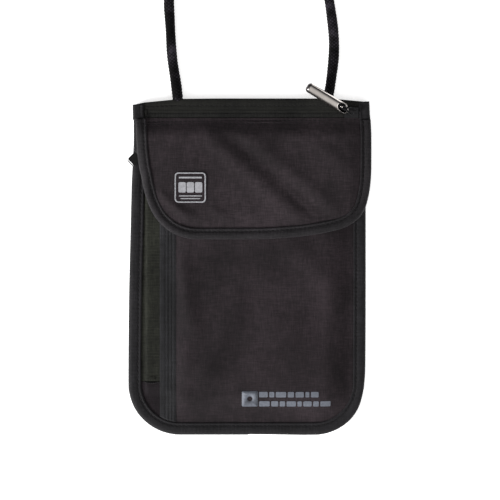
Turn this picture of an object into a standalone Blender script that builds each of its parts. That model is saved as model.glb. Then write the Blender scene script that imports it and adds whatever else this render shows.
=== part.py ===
"""Neck pouch wallet, lying on its back: a flat zipped pouch with a flap, a header zip with a metal tube pull, and a braided neck cord.
Units are metres, +Z is up, +Y points from the pouch to its cord. Values named _MM and all outline tables are in millimetres."""

import math

import bmesh
import bpy
import numpy as np
from mathutils import Matrix, Vector

MM = 0.001

# ---- driving dimensions, mm ----
FABRIC = 0.5  # thickness of every fabric sheet
BIND_W = 6.6  # visible width of the binding tape
BODY_BOTTOM_Y = -100.8
CORNER_R = 30.0
HINGE_Y = 88.1  # the seam between header and flap
HINGE_Z = 7.1
HEADER_Z = 4.6  # underside of the header's zip tapes
ZIP_Y = 92.0  # centre line of the header zip
FZIP_X = -57.3  # centre line of the front zip
CORD_D = 6.0
CORD_COIL_R = 33.0  # mean radius of the coiled slack
TOP_EDGE = [(-69.0, 96.8), (-62.0, 98.4), (-39.3, 100.6), (-20.0, 100.8), (49.5, 100.8), (73.2, 98.6)]

BODY_LINE = (
    [(-68.6, 87.8), (-68.5, 60.0), (-69.2, 25.0), (-70.1, -12.0), (-70.5, -45.0), (-70.6, -70.8)]
    + [
        (-40.6 - CORNER_R * math.cos(a), -70.8 - CORNER_R * math.sin(a))
        for a in np.radians(np.arange(7.5, 90.1, 7.5))
    ]
    + [(-20.0, -100.9), (0.0, -100.9), (20.0, -100.9)]
    + [
        (40.0 + CORNER_R * math.sin(a), -70.8 - CORNER_R * math.cos(a))
        for a in np.radians(np.arange(0, 82.6, 7.5))
    ]
    + [(70.0, -70.8), (70.2, -45.0), (70.3, -12.0), (70.3, 25.0), (70.3, 60.0), (70.3, 87.8)]
)
FLAP_LINE = [
    (-67.4, 87.9), (-67.2, 85.9), (-67.0, 83.7), (-66.85, 81.5), (-66.75, 79.3), (-66.6, 77.2), (-66.5, 75.0), (-66.1, 68.8), (-65.1, 60.5), (-63.5, 52.8), (-62.2, 46.6),
    (-60.6, 40.9), (-58.8, 36.0), (-56.6, 31.6), (-54.0, 27.6), (-50.7, 24.1), (-46.6, 20.8), (-41.7, 18.3),
    (-36.7, 16.8), (-31.7, 16.1), (-15.0, 16.0), (8.1, 16.1), (20.0, 16.7), (32.7, 17.8), (43.0, 19.3),
    (52.9, 21.4), (56.0, 22.3), (58.6, 23.3), (61.2, 24.6), (63.6, 26.1), (65.7, 27.8), (67.6, 29.8), (70.4, 34.4), (72.3, 41.0), (73.5, 48.0),
    (74.1, 56.0), (74.2, 66.0), (74.2, 75.0), (74.2, 77.2), (74.2, 79.3), (74.1, 81.5), (74.05, 83.7), (74.0, 85.9), (73.9, 87.9),
]

for old in list(bpy.data.objects):
    bpy.data.objects.remove(old, do_unlink=True)
for old in list(bpy.data.collections):
    bpy.data.collections.remove(old)
PARTS = bpy.data.collections.new("neck_pouch_wallet")
CUTTERS = bpy.data.collections.new("cutters")
bpy.context.scene.collection.children.link(PARTS)
bpy.context.scene.collection.children.link(CUTTERS)
CUTTERS.hide_render = True


# ---- helpers ----
def smooth(t):
    t = min(max(t, 0.0), 1.0)
    return t * t * (3 - 2 * t)


def material(name, colour, rough=0.85, metal=0.0):
    m = bpy.data.materials.new(name)
    m.use_nodes = True
    b = m.node_tree.nodes["Principled BSDF"]
    b.inputs["Base Color"].default_value = (*colour, 1)
    b.inputs["Roughness"].default_value = rough
    b.inputs["Metallic"].default_value = metal
    return m


FABRIC_C, BIND_C, TAPE_C, CORD_C = (0.036, 0.031, 0.032), (0.027, 0.029, 0.032), (0.028, 0.028, 0.021), (0.02, 0.02, 0.023)
BLACK_C, STEEL_C, PRINT_C = (0.012, 0.012, 0.014), (0.72, 0.70, 0.67), (0.22, 0.24, 0.26)


def place(name, bm, colour, rough=0.85, metal=0.0, round_=False, collection=None, origin=None):
    """A mesh node from a bmesh in millimetres; origin is the point the object is placed by."""
    o = Vector(origin if origin is not None else (0.0, 0.0, 0.0))
    bmesh.ops.translate(bm, verts=bm.verts, vec=-o)
    bmesh.ops.scale(bm, verts=bm.verts, vec=(MM, MM, MM))
    bmesh.ops.recalc_face_normals(bm, faces=bm.faces)
    mesh = bpy.data.meshes.new(name)
    bm.to_mesh(mesh)
    bm.free()
    if round_:
        mesh.shade_smooth()
    obj = bpy.data.objects.new(name, mesh)
    obj.location = o * MM
    (collection or PARTS).objects.link(obj)
    mesh.materials.append(material("mat_" + name, colour, rough, metal))
    return obj


def slab(name, grid, low, thick, colour, **kw):
    """A sheet: a flat grid laid over the outline and the height function, then extruded by its thickness."""
    nv, nu = len(grid), len(grid[0])
    bm = bmesh.new()
    bmesh.ops.create_grid(bm, x_segments=nu - 1, y_segments=nv - 1, size=1.0)
    for v in bm.verts:
        i = int(round((v.co.x + 1) / 2 * (nu - 1)))
        j = int(round((v.co.y + 1) / 2 * (nv - 1)))
        x, y = grid[j][i]
        v.co = (x, y, low(x, y))
    bmesh.ops.triangulate(bm, faces=bm.faces, quad_method="FIXED")
    made = bmesh.ops.extrude_face_region(bm, geom=list(bm.faces), use_keep_orig=True)
    bmesh.ops.translate(bm, verts=[g for g in made["geom"] if isinstance(g, bmesh.types.BMVert)], vec=(0, 0, thick))
    return place(name, bm, colour, **kw)


def extruded(name, sections, colour, **kw):
    """A profile extruded from section to section; each section lists its points in the same order."""
    bm = bmesh.new()
    verts = [bm.verts.new(p) for p in sections[0]]
    face = bm.faces.new(verts)
    for k, section in enumerate(sections[1:]):
        made = bmesh.ops.extrude_discrete_faces(bm, faces=[face]) if False else bmesh.ops.extrude_face_region(bm, geom=[face], use_keep_orig=(k == 0))
        old = [v.co.copy() for v in verts]
        moved = [g for g in made["geom"] if isinstance(g, bmesh.types.BMVert)]
        top = [g for g in made["geom"] if isinstance(g, bmesh.types.BMFace)]
        new = []
        for q, p in zip(old, section):
            v = min(moved, key=lambda m: (m.co - q).length_squared)
            moved.remove(v)
            new.append((v, p))
        for v, p in new:
            v.co = p
        verts = [v for v, _ in new]
        if k > 0 and face.is_valid:
            bm.faces.remove(face)
        face = top[0]
    return place(name, bm, colour, **kw)


def normals(line):
    """Unit normals of an open line of points, to the left of its direction."""
    p = np.array(line, float)
    t = np.gradient(p, axis=0)
    t /= np.linalg.norm(t, axis=1)[:, None]
    nrm = np.c_[-t[:, 1], t[:, 0]]
    nrm[0], nrm[-1] = (1.0, 0.0), (-1.0, 0.0)
    return nrm


def inset(line, d):
    """The line moved inward: both outlines run down the left side, along the bottom and up the right."""
    return np.array(line, float) + normals(line) * d


def sides(line, d):
    """Left and right x of the inset outline as functions of y, and its lowest y."""
    q = inset(line, d)
    k = int(np.argmin(q[:, 1]))
    left, right = q[: k + 1][::-1], q[k:]
    left = left[np.argsort(left[:, 1], kind="stable")]
    right = right[np.argsort(right[:, 1], kind="stable")]
    return (
        lambda y: float(np.interp(y, left[:, 1], left[:, 0])),
        lambda y: float(np.interp(y, right[:, 1], right[:, 0])),
        float(q[k, 1]),
    )


def sweep(name, line, profile, colour, **kw):
    """A closed profile of (inset, z(x, y)) points carried along a line."""
    p, nrm = np.array(line, float), normals(line)
    sections = [
        [(x + nx * d, y + ny * d, z(x + nx * d, y + ny * d)) for d, z in profile]
        for (x, y), (nx, ny) in zip(p, nrm)
    ]
    return extruded(name, sections, colour, **kw)


def channel(depth, web, z0, z1, t, lift=lambda x, y: 0.0, curved=False):
    """The C profile of a binding tape folded over an edge."""
    at = lambda h: (lambda x, y: lift(x, y) + h)
    if not curved:
        return [
            (0.0, at(z0)), (0.0, at(z1)), (depth, at(z1)), (depth, at(z1 - t)),
            (web, at(z1 - t)), (web, at(z0 + t)), (depth, at(z0 + t)), (depth, at(z0)),
        ]
    across = (2.1, 3.6, 5.1)
    return (
        [(0.0, at(z0)), (0.0, at(z1))] + [(d, at(z1)) for d in across] + [(depth, at(z1)), (depth, at(z1 - t))]
        + [(d, at(z1 - t)) for d in across[::-1]] + [(web, at(z1 - t)), (web, at(z0 + t))]
        + [(d, at(z0 + t)) for d in across] + [(depth, at(z0 + t)), (depth, at(z0))]
        + [(d, at(z0)) for d in across[::-1]]
    )


def box(name, lo, hi, colour, rough=0.85, metal=0.0, bevel=0.0, **kw):
    bm = bmesh.new()
    bmesh.ops.create_cube(bm, size=1.0)
    size, middle = np.subtract(hi, lo), np.add(hi, lo) / 2
    bmesh.ops.scale(bm, verts=bm.verts, vec=Vector(size))
    bmesh.ops.translate(bm, verts=bm.verts, vec=Vector(middle))
    obj = place(name, bm, colour, rough, metal, **kw)
    if bevel:
        m = obj.modifiers.new("edge", "BEVEL")
        m.width = bevel * MM
        m.segments = 2
        m.limit_method = "ANGLE"
    return obj


def cutter(obj):
    obj.hide_render = True
    obj.display_type = "WIRE"
    return obj


def route(points, step):
    """Points along a smooth curve through the route's own points, one every step millimetres."""
    p = np.array([points[0]] + list(points) + [points[-1]], float)
    fine = []
    for a, b, c, d in zip(p[:-3], p[1:-2], p[2:-1], p[3:]):
        for t in np.linspace(0, 1, 20, endpoint=False):
            fine.append(0.5 * (2 * b + (c - a) * t + (2 * a - 5 * b + 4 * c - d) * t**2 + (3 * b - a - 3 * c + d) * t**3))
    fine.append(p[-1])
    fine = np.array(fine)
    s = np.r_[0, np.cumsum(np.linalg.norm(np.diff(fine, axis=0), axis=1))]
    at = np.linspace(0, s[-1], max(2, int(round(s[-1] / step)) + 1))
    return np.c_[[np.interp(at, s, fine[:, k]) for k in range(fine.shape[1])]].T


def tube(name, points, dia, colour, sides_=2, cyclic=False, rough=0.9, metal=0.0, origin=None):
    """A round bar along a list of points."""
    curve = bpy.data.curves.new(name, "CURVE")
    curve.dimensions = "3D"
    curve.bevel_depth = dia / 2 * MM
    curve.bevel_resolution = sides_
    curve.use_fill_caps = not cyclic
    curve.render_resolution_u = 0
    s = curve.splines.new("POLY")
    s.points.add(len(points) - 1)
    o = np.array(origin if origin is not None else (0.0, 0.0, 0.0))
    for pt, p in zip(s.points, points):
        q = (np.array(p, float) - o) * MM
        pt.co = (q[0], q[1], q[2], 1)
    s.use_cyclic_u = cyclic
    s.use_smooth = True
    obj = bpy.data.objects.new(name, curve)
    obj.location = tuple(o * MM)
    PARTS.objects.link(obj)
    curve.materials.append(material("mat_" + name, colour, rough, metal))
    return obj


def boolean(obj, other, how="DIFFERENCE"):
    m = obj.modifiers.new(how.lower(), "BOOLEAN")
    m.operation = how
    m.solver = "EXACT"
    m.object = other


# ---- height of each layer ----
def rise(x, y):
    """0 at the binding and beside the front zip, 1 where the pouch is at its full thickness."""
    left = (x + 52.4) / 17.0
    right = (63.4 - x) / 17.0
    base = (y - (BODY_BOTTOM_Y + BIND_W + 0.3)) / 17.0
    s = smooth(left) * smooth(right) * smooth(base)
    # the rounded bottom corner on the right
    if x > 40.0 and y < -70.8:
        s = min(s, smooth((CORNER_R - 7.0 - math.hypot(x - 40.0, y + 70.8)) / 17.0))
    if x < -40.6 and y < -70.8:
        s = min(s, smooth((CORNER_R - 7.0 - math.hypot(x + 40.6, y + 70.8)) / 17.0))
    return s


def ledge(x, y):
    """The flat strip that the front zip is sewn in, raised to leave room for the slider's inner plate."""
    return smooth((x + 61.75) / 1.4) * smooth((-42.0 - x) / 8.0) * smooth((y + 79.0) / 7.0)


def back_z(x, y):
    e = min(smooth((x + 61.4) / 5.0), smooth((63.0 - x) / 5.0), smooth((y + 93.2) / 5.0))
    if x > 40.0 and y < -70.8:
        e = min(e, smooth((CORNER_R - 7.0 - math.hypot(x - 40.0, y + 70.8)) / 4.0))
    if x < -40.6 and y < -70.8:
        e = min(e, smooth((CORNER_R - 7.0 - math.hypot(x + 40.6, y + 70.8)) / 4.0))
    return 0.7 * (1 - e)


def divider_z(x, y):
    low = 1.4 - 0.3 * rise(x, y)
    return low + (3.4 - low) * smooth((y - 82.6) / 4.6) * min(smooth((x + 61.5) / 4.0), smooth((61.5 - x) / 4.0))


def pocket_back_z(x, y):
    return 2.1 + 4.3 * rise(x, y)


def front_z(x, y):
    s = rise(x, y)
    return 2.8 + 5.1 * s + 1.9 * ledge(x, y) * (1 - s)


def flap_z(x, y):
    """Underside of the flap's lining."""
    full = 7.4 + 2.7 * min(smooth((x + 67.0) / 9.0), smooth((72.0 - x) / 12.0))
    return 6.0 + (full - 6.0) * smooth((HINGE_Y - 0.1 - y) / 11.0)


def top_y(x):
    return float(np.interp(x, [p[0] for p in TOP_EDGE], [p[1] for p in TOP_EDGE]))


def rows_between(y0, y1, line_ys, step):
    ys = [y0, y1] + [y for y in line_ys if y0 + 0.8 < y < y1 - 0.8]
    ys = sorted(ys)
    out = [ys[0]]
    for a, b in zip(ys[:-1], ys[1:]):
        if b - a < 0.3:
            continue
        n = max(1, int(round((b - a) / step)))
        out += [a + (b - a) * (k + 1) / n for k in range(n)]
    return out


# ---- body sheets ----
LEFT, RIGHT, LOW = sides(BODY_LINE, 0.8)
CURVE_YS = [LOW + 29.2 * (1 - math.cos(a)) for a in np.radians((22.5, 37.5, 52.5, 67.5, 82.5))]


def columns(nu):
    """Column positions across a sheet, closer together beside each binding."""
    edge = [0.0, 0.024, 0.047, 0.066, 0.086, 0.115, 0.15]
    return edge + list(np.linspace(0.19, 0.81, nu - 10)) + [1 - e for e in edge[::-1]]


def body_grid(xl, xr, y0, y1, nu, step=9.0, top=None):
    rows = rows_between(y0, y1, CURVE_YS + [82.6, 84.9, 90.9, -98.0, -94.4, -91.5, -88.0, -84.0, -79.0, -76.0, -72.0], step)
    grid = []
    for y in rows:
        a, b = xl(y), xr(y)
        row = []
        for u in columns(nu):
            x = a + (b - a) * u
            yy = y
            if top is not None:
                t = smooth((y - (y1 - 30)) / 30.0)
                yy = y + (top(x) - y1) * t
            row.append((x, yy))
        grid.append(row)
    return grid


# the back panel reaches from the bottom binding to the top edge
def back_left(y):
    return LEFT(y) if y < 91.0 else -68.1


def back_right(y):
    return RIGHT(y) if y < 91.0 else min(69.5 + (y - 91.0) * 1.6, 72.3)


grid = body_grid(back_left, back_right, LOW, 100.4, 24, top=lambda x: top_y(x) - 0.4)
slab("back_panel", grid, back_z, FABRIC, FABRIC_C)

grid = body_grid(LEFT, RIGHT, LOW, HINGE_Y - 0.4, 24)
slab("divider_panel", grid, divider_z, FABRIC, FABRIC_C)


def mouth_y(x):
    """Top edge of the compartment's front wall: it dips in the middle, so a hand can get in."""
    return 82.4 - 9.0 * smooth((44.0 - abs(x - 6.0)) / 26.0)


grid = body_grid(LEFT, RIGHT, LOW, 82.4, 24, top=mouth_y)
slab("pocket_back_wall", grid, pocket_back_z, FABRIC, FABRIC_C)

grid = body_grid(lambda y: max(-52.2, LEFT(y)), RIGHT, LOW, 82.4, 22, top=mouth_y)
slab("pocket_front_panel", grid, front_z, FABRIC, FABRIC_C)

# the bound edge of the front panel, beside the zip
ys = rows_between(-90.2, 81.6, [-88.0, -84.0, -79.0, -76.0, -72.0], 9.0)
grid = [[(x, y) for x in np.linspace(max(-52.4, LEFT(y) + 6.6), -42.9, 5)] for y in ys]
slab("placket_edge", grid, lambda x, y: front_z(x, y) + FABRIC + 0.3, FABRIC, BIND_C)

# the plain piece of fabric below the front zip
ys = rows_between(LOW + 4.6, -69.6, CURVE_YS + [-79.0, -72.0], 3.0)
grid = [[(x, y) for x in np.linspace(LEFT(y), -52.6, 7)] for y in ys if LEFT(y) < -53.6]
slab("zip_end_panel", grid, front_z, FABRIC, FABRIC_C)

# ---- front zip ----
ys = rows_between(-69.2, 81.6, [], 10.0)
grid = [[(x, y) for x in (LEFT(y), -63.4, -61.8, -61.3, -60.8, -60.35, FZIP_X - 0.45)] for y in ys]
slab("front_zip_tape_left", grid, front_z, FABRIC, TAPE_C)
grid = [[(x, y) for x in (FZIP_X + 0.45, -54.8, -52.6)] for y in ys]
slab("front_zip_tape_right", grid, front_z, FABRIC, TAPE_C)
box("front_zip_coil_left", (FZIP_X - 1.7, -67.0, 3.88), (FZIP_X - 0.55, 79.5, 4.5), BLACK_C, 0.5)
box("front_zip_coil_right", (FZIP_X + 0.55, -67.0, 3.88), (FZIP_X + 1.7, 79.5, 4.5), BLACK_C, 0.5)
box("front_zip_bottom_stop", (FZIP_X - 2.2, -68.6, 5.4), (FZIP_X + 2.2, -66.4, 6.1), BLACK_C, 0.4, bevel=0.2)
box("front_zip_top_stop", (FZIP_X - 2.2, 79.6, 5.4), (FZIP_X + 2.2, 81.2, 6.1), BLACK_C, 0.4, bevel=0.2)

# ---- bindings ----
sweep("body_binding", BODY_LINE, channel(BIND_W, 0.5, 0.0, 4.0, 0.5), BIND_C)


def header_side(name, x0, sgn, x1=None):
    top = top_y(x0 + sgn * 3.3)
    web, deep = x0 + sgn * 0.5, x0 + sgn * BIND_W
    prof = [(x0, 0.0), (x0, 5.8), (deep, 5.8), (deep, 5.3), (web, 5.3), (web, 0.5), (deep, 0.5), (deep, 0.0)]
    sections = [[(x, HINGE_Y + 0.2, z) for x, z in prof], [(x, top_y(x) + 0.3, z) for x, z in prof]]
    return extruded(name, sections, BIND_C)


header_side("header_binding_left", -68.9, 1)
header_side("header_binding_right", 73.3, -1)

# ---- header: zip tapes, coils and stops above the rear pocket ----
xs = np.linspace(-68.1, 72.5, 25)
grid = [[(x, HINGE_Y + 0.2 + (ZIP_Y - 0.45 - HINGE_Y - 0.2) * v) for x in xs] for v in (0, 1)]
slab("header_tape_lower", grid, lambda x, y: HEADER_Z, FABRIC, TAPE_C)
grid = [[(x, ZIP_Y + 0.45 + (top_y(x) - 0.2 - ZIP_Y - 0.45) * v) for x in xs] for v in (0, 0.5, 1)]
slab("header_tape_upper", grid, lambda x, y: HEADER_Z, FABRIC, TAPE_C)
box("header_coil_lower", (-61.5, ZIP_Y - 1.7, 3.78), (66.0, ZIP_Y - 0.55, 4.4), BLACK_C, 0.5)
box("header_coil_upper", (-61.5, ZIP_Y + 0.55, 3.78), (66.0, ZIP_Y + 1.7, 4.4), BLACK_C, 0.5)
box("header_stop_left", (-62.0, ZIP_Y - 2.0, 5.3), (-60.4, ZIP_Y + 2.0, 6.0), BLACK_C, 0.4, bevel=0.2)
# top edge: the turned-in fabric that closes the rear pocket above the zip, thinner where a cord end passes over it
CORD_X = (-42.0, 48.6)
seam_x = np.linspace(-61.8, 66.2, 21)
seam = slab("top_edge_seam", [[(x, top_y(x) - 0.4 - d) for x in seam_x] for d in (1.4, 0.0)], lambda x, y: 1.35, 3.0, FABRIC_C)
for side, x in zip(("left", "right"), CORD_X):
    notch = cutter(box("cut_seam_" + side, (x - 4.7, 94.0, 1.65), (x + 4.7, 104.0, 6.0), BLACK_C, collection=CUTTERS))
    boolean(seam, notch)
for side, x in zip(("left", "right"), CORD_X):
    box("cord_end_" + side, (x - 4.2, 96.3, 1.85), (x + 4.2, 100.9, 4.35), CORD_C, bevel=0.6)

# ---- closure strips and patches ----
grid = [[(x, y) for x in np.linspace(-24.0, 42.0, 7)] for y in (30.0, 38.0, 46.0)]
slab("hook_strip", grid, lambda x, y: front_z(x, y) + FABRIC + 0.2, 0.5, BLACK_C)
HINGE = (0.0, HINGE_Y, HINGE_Z)
slab("loop_strip", grid, lambda x, y: flap_z(x, y) - 0.75, 0.5, BLACK_C, origin=HINGE)
grid = [[(x, y) for x in np.linspace(-3.9, 50.1, 8)] for y in (-84.6, -83.0, -81.0, -79.0, -77.4, -75.5, -73.8)]
slab("front_print_patch", grid, lambda x, y: front_z(x, y) + FABRIC + 0.45, 0.25, PRINT_C)
badge = box("flap_badge", (-43.5, 37.6, 11.45), (-24.5, 56.1, 11.85), BLACK_C, origin=HINGE)

# ---- flap ----
F_LEFT, F_RIGHT, F_LOW = sides(FLAP_LINE, 0.9)
FLAP_YS = [17.6, 18.8, 20.4, 22.6, 24.1, 25.6, 27.4, 29.4, 34.0, 40.0, 47.0, 56.0, 68.8, 75.0, 77.2, 79.3, 81.5, 83.7, 85.9]


FLAP_COLUMNS = [0.0, 0.013, 0.026, 0.04, 0.055, 0.07, 0.09] + list(np.linspace(0.14, 0.84, 13)) + [0.87, 0.895, 0.92, 0.94, 0.96, 0.98, 1.0]


def flap_grid(y1):
    rows = [F_LOW] + [y for y in FLAP_YS if y > F_LOW + 0.4] + [y1]
    return [[(F_LEFT(y) + (F_RIGHT(y) - F_LEFT(y)) * u, y) for u in FLAP_COLUMNS] for y in rows]


slab("flap_lining", flap_grid(87.8), flap_z, 0.4, FABRIC_C, origin=HINGE)
slab("flap_outer", flap_grid(87.8), lambda x, y: flap_z(x, y) + 0.6, FABRIC, FABRIC_C, origin=HINGE)
sweep("flap_binding", FLAP_LINE, channel(BIND_W, 0.5, -0.65, 1.8, 0.35, flap_z, True), BIND_C, origin=HINGE)

# ---- header slider, link and tube pull ----
SL = np.array((63.6, ZIP_Y))
top_slider = box("top_slider", (58.2, ZIP_Y - 3.1, 5.3), (66.6, ZIP_Y + 3.1, 6.1), BLACK_C, 0.35, 0.8, origin=(SL[0], SL[1], 5.7))


def join(obj, parts):
    for k, (lo, hi) in enumerate(parts):
        c = cutter(box("cut_%s_%d" % (obj.name, k), lo, hi, BLACK_C, collection=CUTTERS))
        boolean(obj, c, "UNION")


join(top_slider, [
    ((58.4, ZIP_Y - 2.9, 2.9), (66.4, ZIP_Y + 2.9, 3.65)),
    ((64.4, ZIP_Y - 0.3, 3.3), (66.2, ZIP_Y + 0.3, 5.7)),
    ((61.4, ZIP_Y - 0.45, 5.7), (62.4, ZIP_Y + 0.45, 10.45)),
    ((64.8, ZIP_Y - 0.45, 5.7), (65.8, ZIP_Y + 0.45, 10.45)),
    ((61.45, ZIP_Y - 0.4, 9.6), (65.75, ZIP_Y + 0.4, 10.5)),
])
TUBE_DIR = np.array((-0.8545, 0.5195))
EYE = np.array((56.1, 94.9))
PULL_Z = 10.2
PIN = EYE + 3.6 * TUBE_DIR
LINK_Z = 8.85
reach = float(np.linalg.norm(PIN - SL))
LD = (PIN - SL) / reach
LN = np.array((-LD[1], LD[0]))
slope = (PULL_Z - LINK_Z) / reach
loop = [
    (0.0, -1.6), (0.0, 1.6), (0.25, 2.0), (0.7, 2.2), (2.2, 1.95), (4.0, 0.95), (6.0, 0.86), (reach, 0.86),
    (reach + 0.6, 0.6), (reach + 0.86, 0.0), (reach + 0.6, -0.6), (reach, -0.86), (6.0, -0.86), (4.0, -0.95),
    (2.2, -1.95), (0.7, -2.2), (0.25, -2.0),
]
tube(
    "top_pull_link",
    [tuple(SL + LD * u + LN * v) + (LINK_Z + slope * u,) for u, v in loop],
    0.8, STEEL_C, 2, True, 0.25, 1.0, origin=(SL[0], SL[1], LINK_Z),
)
R, RI = 3.05, 2.25
# the tube is a turned profile, open at its mouth and domed at its far end, laid along its own axis
profile = [
    (RI, -5.4), (RI, 20.4), (0.0, 20.8), (0.0, 24.2), (R * 0.38, 24.15), (R * 0.72, 23.7), (R * 0.92, 22.9), (R, 21.8), (R, -5.4),
]
bm = bmesh.new()
ends = [bm.verts.new((r, 0.0, z)) for r, z in profile[::-1]]
for a, b in zip(ends[:-1], ends[1:]):
    bm.edges.new((a, b))
bm.edges.new((ends[-1], ends[0]))
bmesh.ops.scale(bm, verts=bm.verts, vec=(MM, MM, MM))
mesh = bpy.data.meshes.new("top_pull_tube")
bm.to_mesh(mesh)
bm.free()
raw = bpy.data.objects.new("turned_pull", mesh)
CUTTERS.objects.link(raw)
turn = raw.modifiers.new("turn", "SCREW")
turn.axis = "Z"
turn.steps = turn.render_steps = 20
turn.angle = 2 * math.pi
turn.use_merge_vertices = True
turn.merge_threshold = 0.00001
turn.use_normal_calculate = True
bpy.context.view_layer.update()
turned = bpy.data.meshes.new_from_object(raw.evaluated_get(bpy.context.evaluated_depsgraph_get()))
bpy.data.objects.remove(raw)
bm = bmesh.new()
bm.from_mesh(turned)
bmesh.ops.remove_doubles(bm, verts=bm.verts, dist=0.00001)
across = Vector((-TUBE_DIR[1], TUBE_DIR[0], 0.0))
along = Vector((TUBE_DIR[0], TUBE_DIR[1], 0.0))
up = along.cross(across)
frame = Matrix((across, up, along)).transposed().to_4x4()
bmesh.ops.scale(bm, verts=bm.verts, vec=(1 / MM, 1 / MM, 1 / MM))
bmesh.ops.transform(bm, matrix=Matrix.Translation((EYE[0], EYE[1], PULL_Z)) @ frame, verts=bm.verts)
pull = place("top_pull_tube", bm, STEEL_C, 0.2, 1.0, True, origin=(PIN[0], PIN[1], PULL_Z))
# its mouth is cut obliquely, so that it opens upward
bm = bmesh.new()
bmesh.ops.create_cube(bm, size=1.0)
bmesh.ops.scale(bm, verts=bm.verts, vec=(16.0, 12.0, 16.0))
lean = math.atan2(2 * R, 7.2)
bmesh.ops.translate(bm, verts=bm.verts, vec=(0.0, 0.0, 8.0))
tip = Vector((EYE[0], EYE[1], PULL_Z - R)) - along * 4.45
cut_up = (-along * math.sin(lean) + Vector((0, 0, 1)) * math.cos(lean)).normalized()
cut_side = across
cut_long = cut_side.cross(cut_up)
bmesh.ops.transform(bm, matrix=Matrix.Translation(tip) @ Matrix((cut_long, cut_side, cut_up)).transposed().to_4x4(), verts=bm.verts)
boolean(pull, cutter(place("cut_mouth", bm, BLACK_C, collection=CUTTERS)))
tube("top_pull_pin", [(PIN[0], PIN[1], PULL_Z - 1.95), (PIN[0], PIN[1], PULL_Z + 1.95)], 0.8, STEEL_C, 2, False, 0.3, 1.0, origin=(PIN[0], PIN[1], PULL_Z))

# ---- front slider and its flat pull ----
FS = np.array((FZIP_X, 74.5))
front_slider = box("front_slider", (FZIP_X - 2.9, FS[1] - 4.0, 5.4), (FZIP_X + 2.9, FS[1] + 4.0, 6.1), BLACK_C, 0.35, 0.6, origin=(FS[0], FS[1], 5.7))
join(front_slider, [
    ((FZIP_X - 2.7, FS[1] - 3.8, 3.0), (FZIP_X + 2.7, FS[1] + 3.8, 3.7)),
    ((FZIP_X - 0.3, FS[1] + 2.2, 3.3), (FZIP_X + 0.3, FS[1] + 3.6, 5.7)),
    ((FZIP_X - 0.8, FS[1] - 0.8, 5.7), (FZIP_X + 0.8, FS[1] + 0.8, 7.35)),
    ((FZIP_X - 1.6, FS[1] - 0.85, 7.25), (FZIP_X + 1.6, FS[1] + 0.85, 7.6)),
])
a = math.radians(224.3)
FD, FN = np.array((math.cos(a), math.sin(a))), np.array((-math.sin(a), math.cos(a)))
WIDE = [(-2.7, 0.9), (-2.2, 1.7), (-1.2, 2.5), (0.0, 2.8), (2.0, 2.8), (4.0, 3.0), (5.2, 3.0), (6.4, 3.0), (7.0, 3.0), (8.3, 3.0), (9.5, 3.0), (11.5, 3.0), (16.8, 3.0), (17.6, 2.5)]


def tab_z(s):
    return float(np.interp(s, (5.2, 7.0, 8.3, 11.5), (6.3, 5.5, 5.5, 4.4)))


def tab_mesh(name, wide, colour, **kw):
    sections = []
    for s, w in wide:
        corners = [FS + FD * s + FN * v for v in (-w, w)]
        z = tab_z(s)
        (ax, ay), (bx, by) = corners
        sections.append([(ax, ay, z), (bx, by, z), (bx, by, z + 0.9), (ax, ay, z + 0.9)])
    return extruded(name, sections, colour, **kw)


front_pull = tab_mesh("front_pull", WIDE, BLACK_C, rough=0.5, origin=(FS[0], FS[1], 6.7))
bm = bmesh.new()
bmesh.ops.create_cone(bm, cap_ends=True, segments=16, radius1=1.35, radius2=1.35, depth=1.8)
bmesh.ops.translate(bm, verts=bm.verts, vec=(FS[0], FS[1], 6.75))
boolean(front_pull, cutter(place("cut_eye", bm, BLACK_C, collection=CUTTERS)))
# the crimped metal strip that closes the end of the pull
tab_mesh("front_pull_ferrule", [(17.9, 2.5), (18.7, 2.3)], STEEL_C, rough=0.3, metal=1.0, origin=(FS[0], FS[1], 6.7))

# ---- neck cord: two strands from the top seam to the coiled slack ----
CZ = 3.1
left = route([(-42.0, 101.6), (-43.2, 111.0), (-45.4, 126.0), (-46.5, 144.0), (-47.3, 160.0), (-46.5, 175.0), (-43.4, 190.0), (-41.7, 196.0)], 12.0)
right = route([(48.6, 101.7), (50.3, 111.6), (52.0, 128.0), (51.6, 142.0), (49.2, 160.0), (46.5, 175.0), (43.4, 190.0), (41.7, 196.0)], 12.0)
tube("cord_left", [(x, y, CZ) for x, y in left], CORD_D, CORD_C, 3)
tube("cord_right", [(x, y, CZ) for x, y in right], CORD_D, CORD_C, 3)
COIL = np.array((0.0, 207.0))
SECTION = 5.7
cz = 6.4
# the coiled slack: one turned ring of the coil's outer shape
bpy.ops.mesh.primitive_torus_add(
    major_segments=48, minor_segments=12, major_radius=CORD_COIL_R * MM, minor_radius=SECTION * MM,
    location=(COIL[0] * MM, COIL[1] * MM, cz * MM),
)
coil = bpy.context.object
coil.name = coil.data.name = "cord_coil"
coil.data.shade_smooth()
coil.data.materials.append(material("mat_cord_coil", CORD_C, 0.9))
for c in list(coil.users_collection):
    c.objects.unlink(coil)
PARTS.objects.link(coil)
# the band round it: a turned rectangle, its axis along the coil's own direction
bm = bmesh.new()
band = [bm.verts.new((r * MM, 0.0, z * MM)) for r, z in ((6.0, -4.0), (6.0, 4.0), (6.35, 4.0), (6.35, -4.0))]
for k in range(4):
    bm.edges.new((band[k], band[(k + 1) % 4]))
mesh = bpy.data.meshes.new("cord_tie")
bm.to_mesh(mesh)
bm.free()
tie = bpy.data.objects.new("cord_tie", mesh)
PARTS.objects.link(tie)
tie.location = (COIL[0] * MM, (COIL[1] - CORD_COIL_R) * MM, cz * MM)
tie.rotation_euler = (0.0, math.pi / 2, 0.0)
turn = tie.modifiers.new("turn", "SCREW")
turn.axis = "Z"
turn.steps = turn.render_steps = 24
turn.use_merge_vertices = True
turn.merge_threshold = 0.00001
turn.use_normal_calculate = True
turn.use_normal_flip = True
mesh.materials.append(material("mat_cord_tie", BLACK_C, 0.6))
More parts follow.
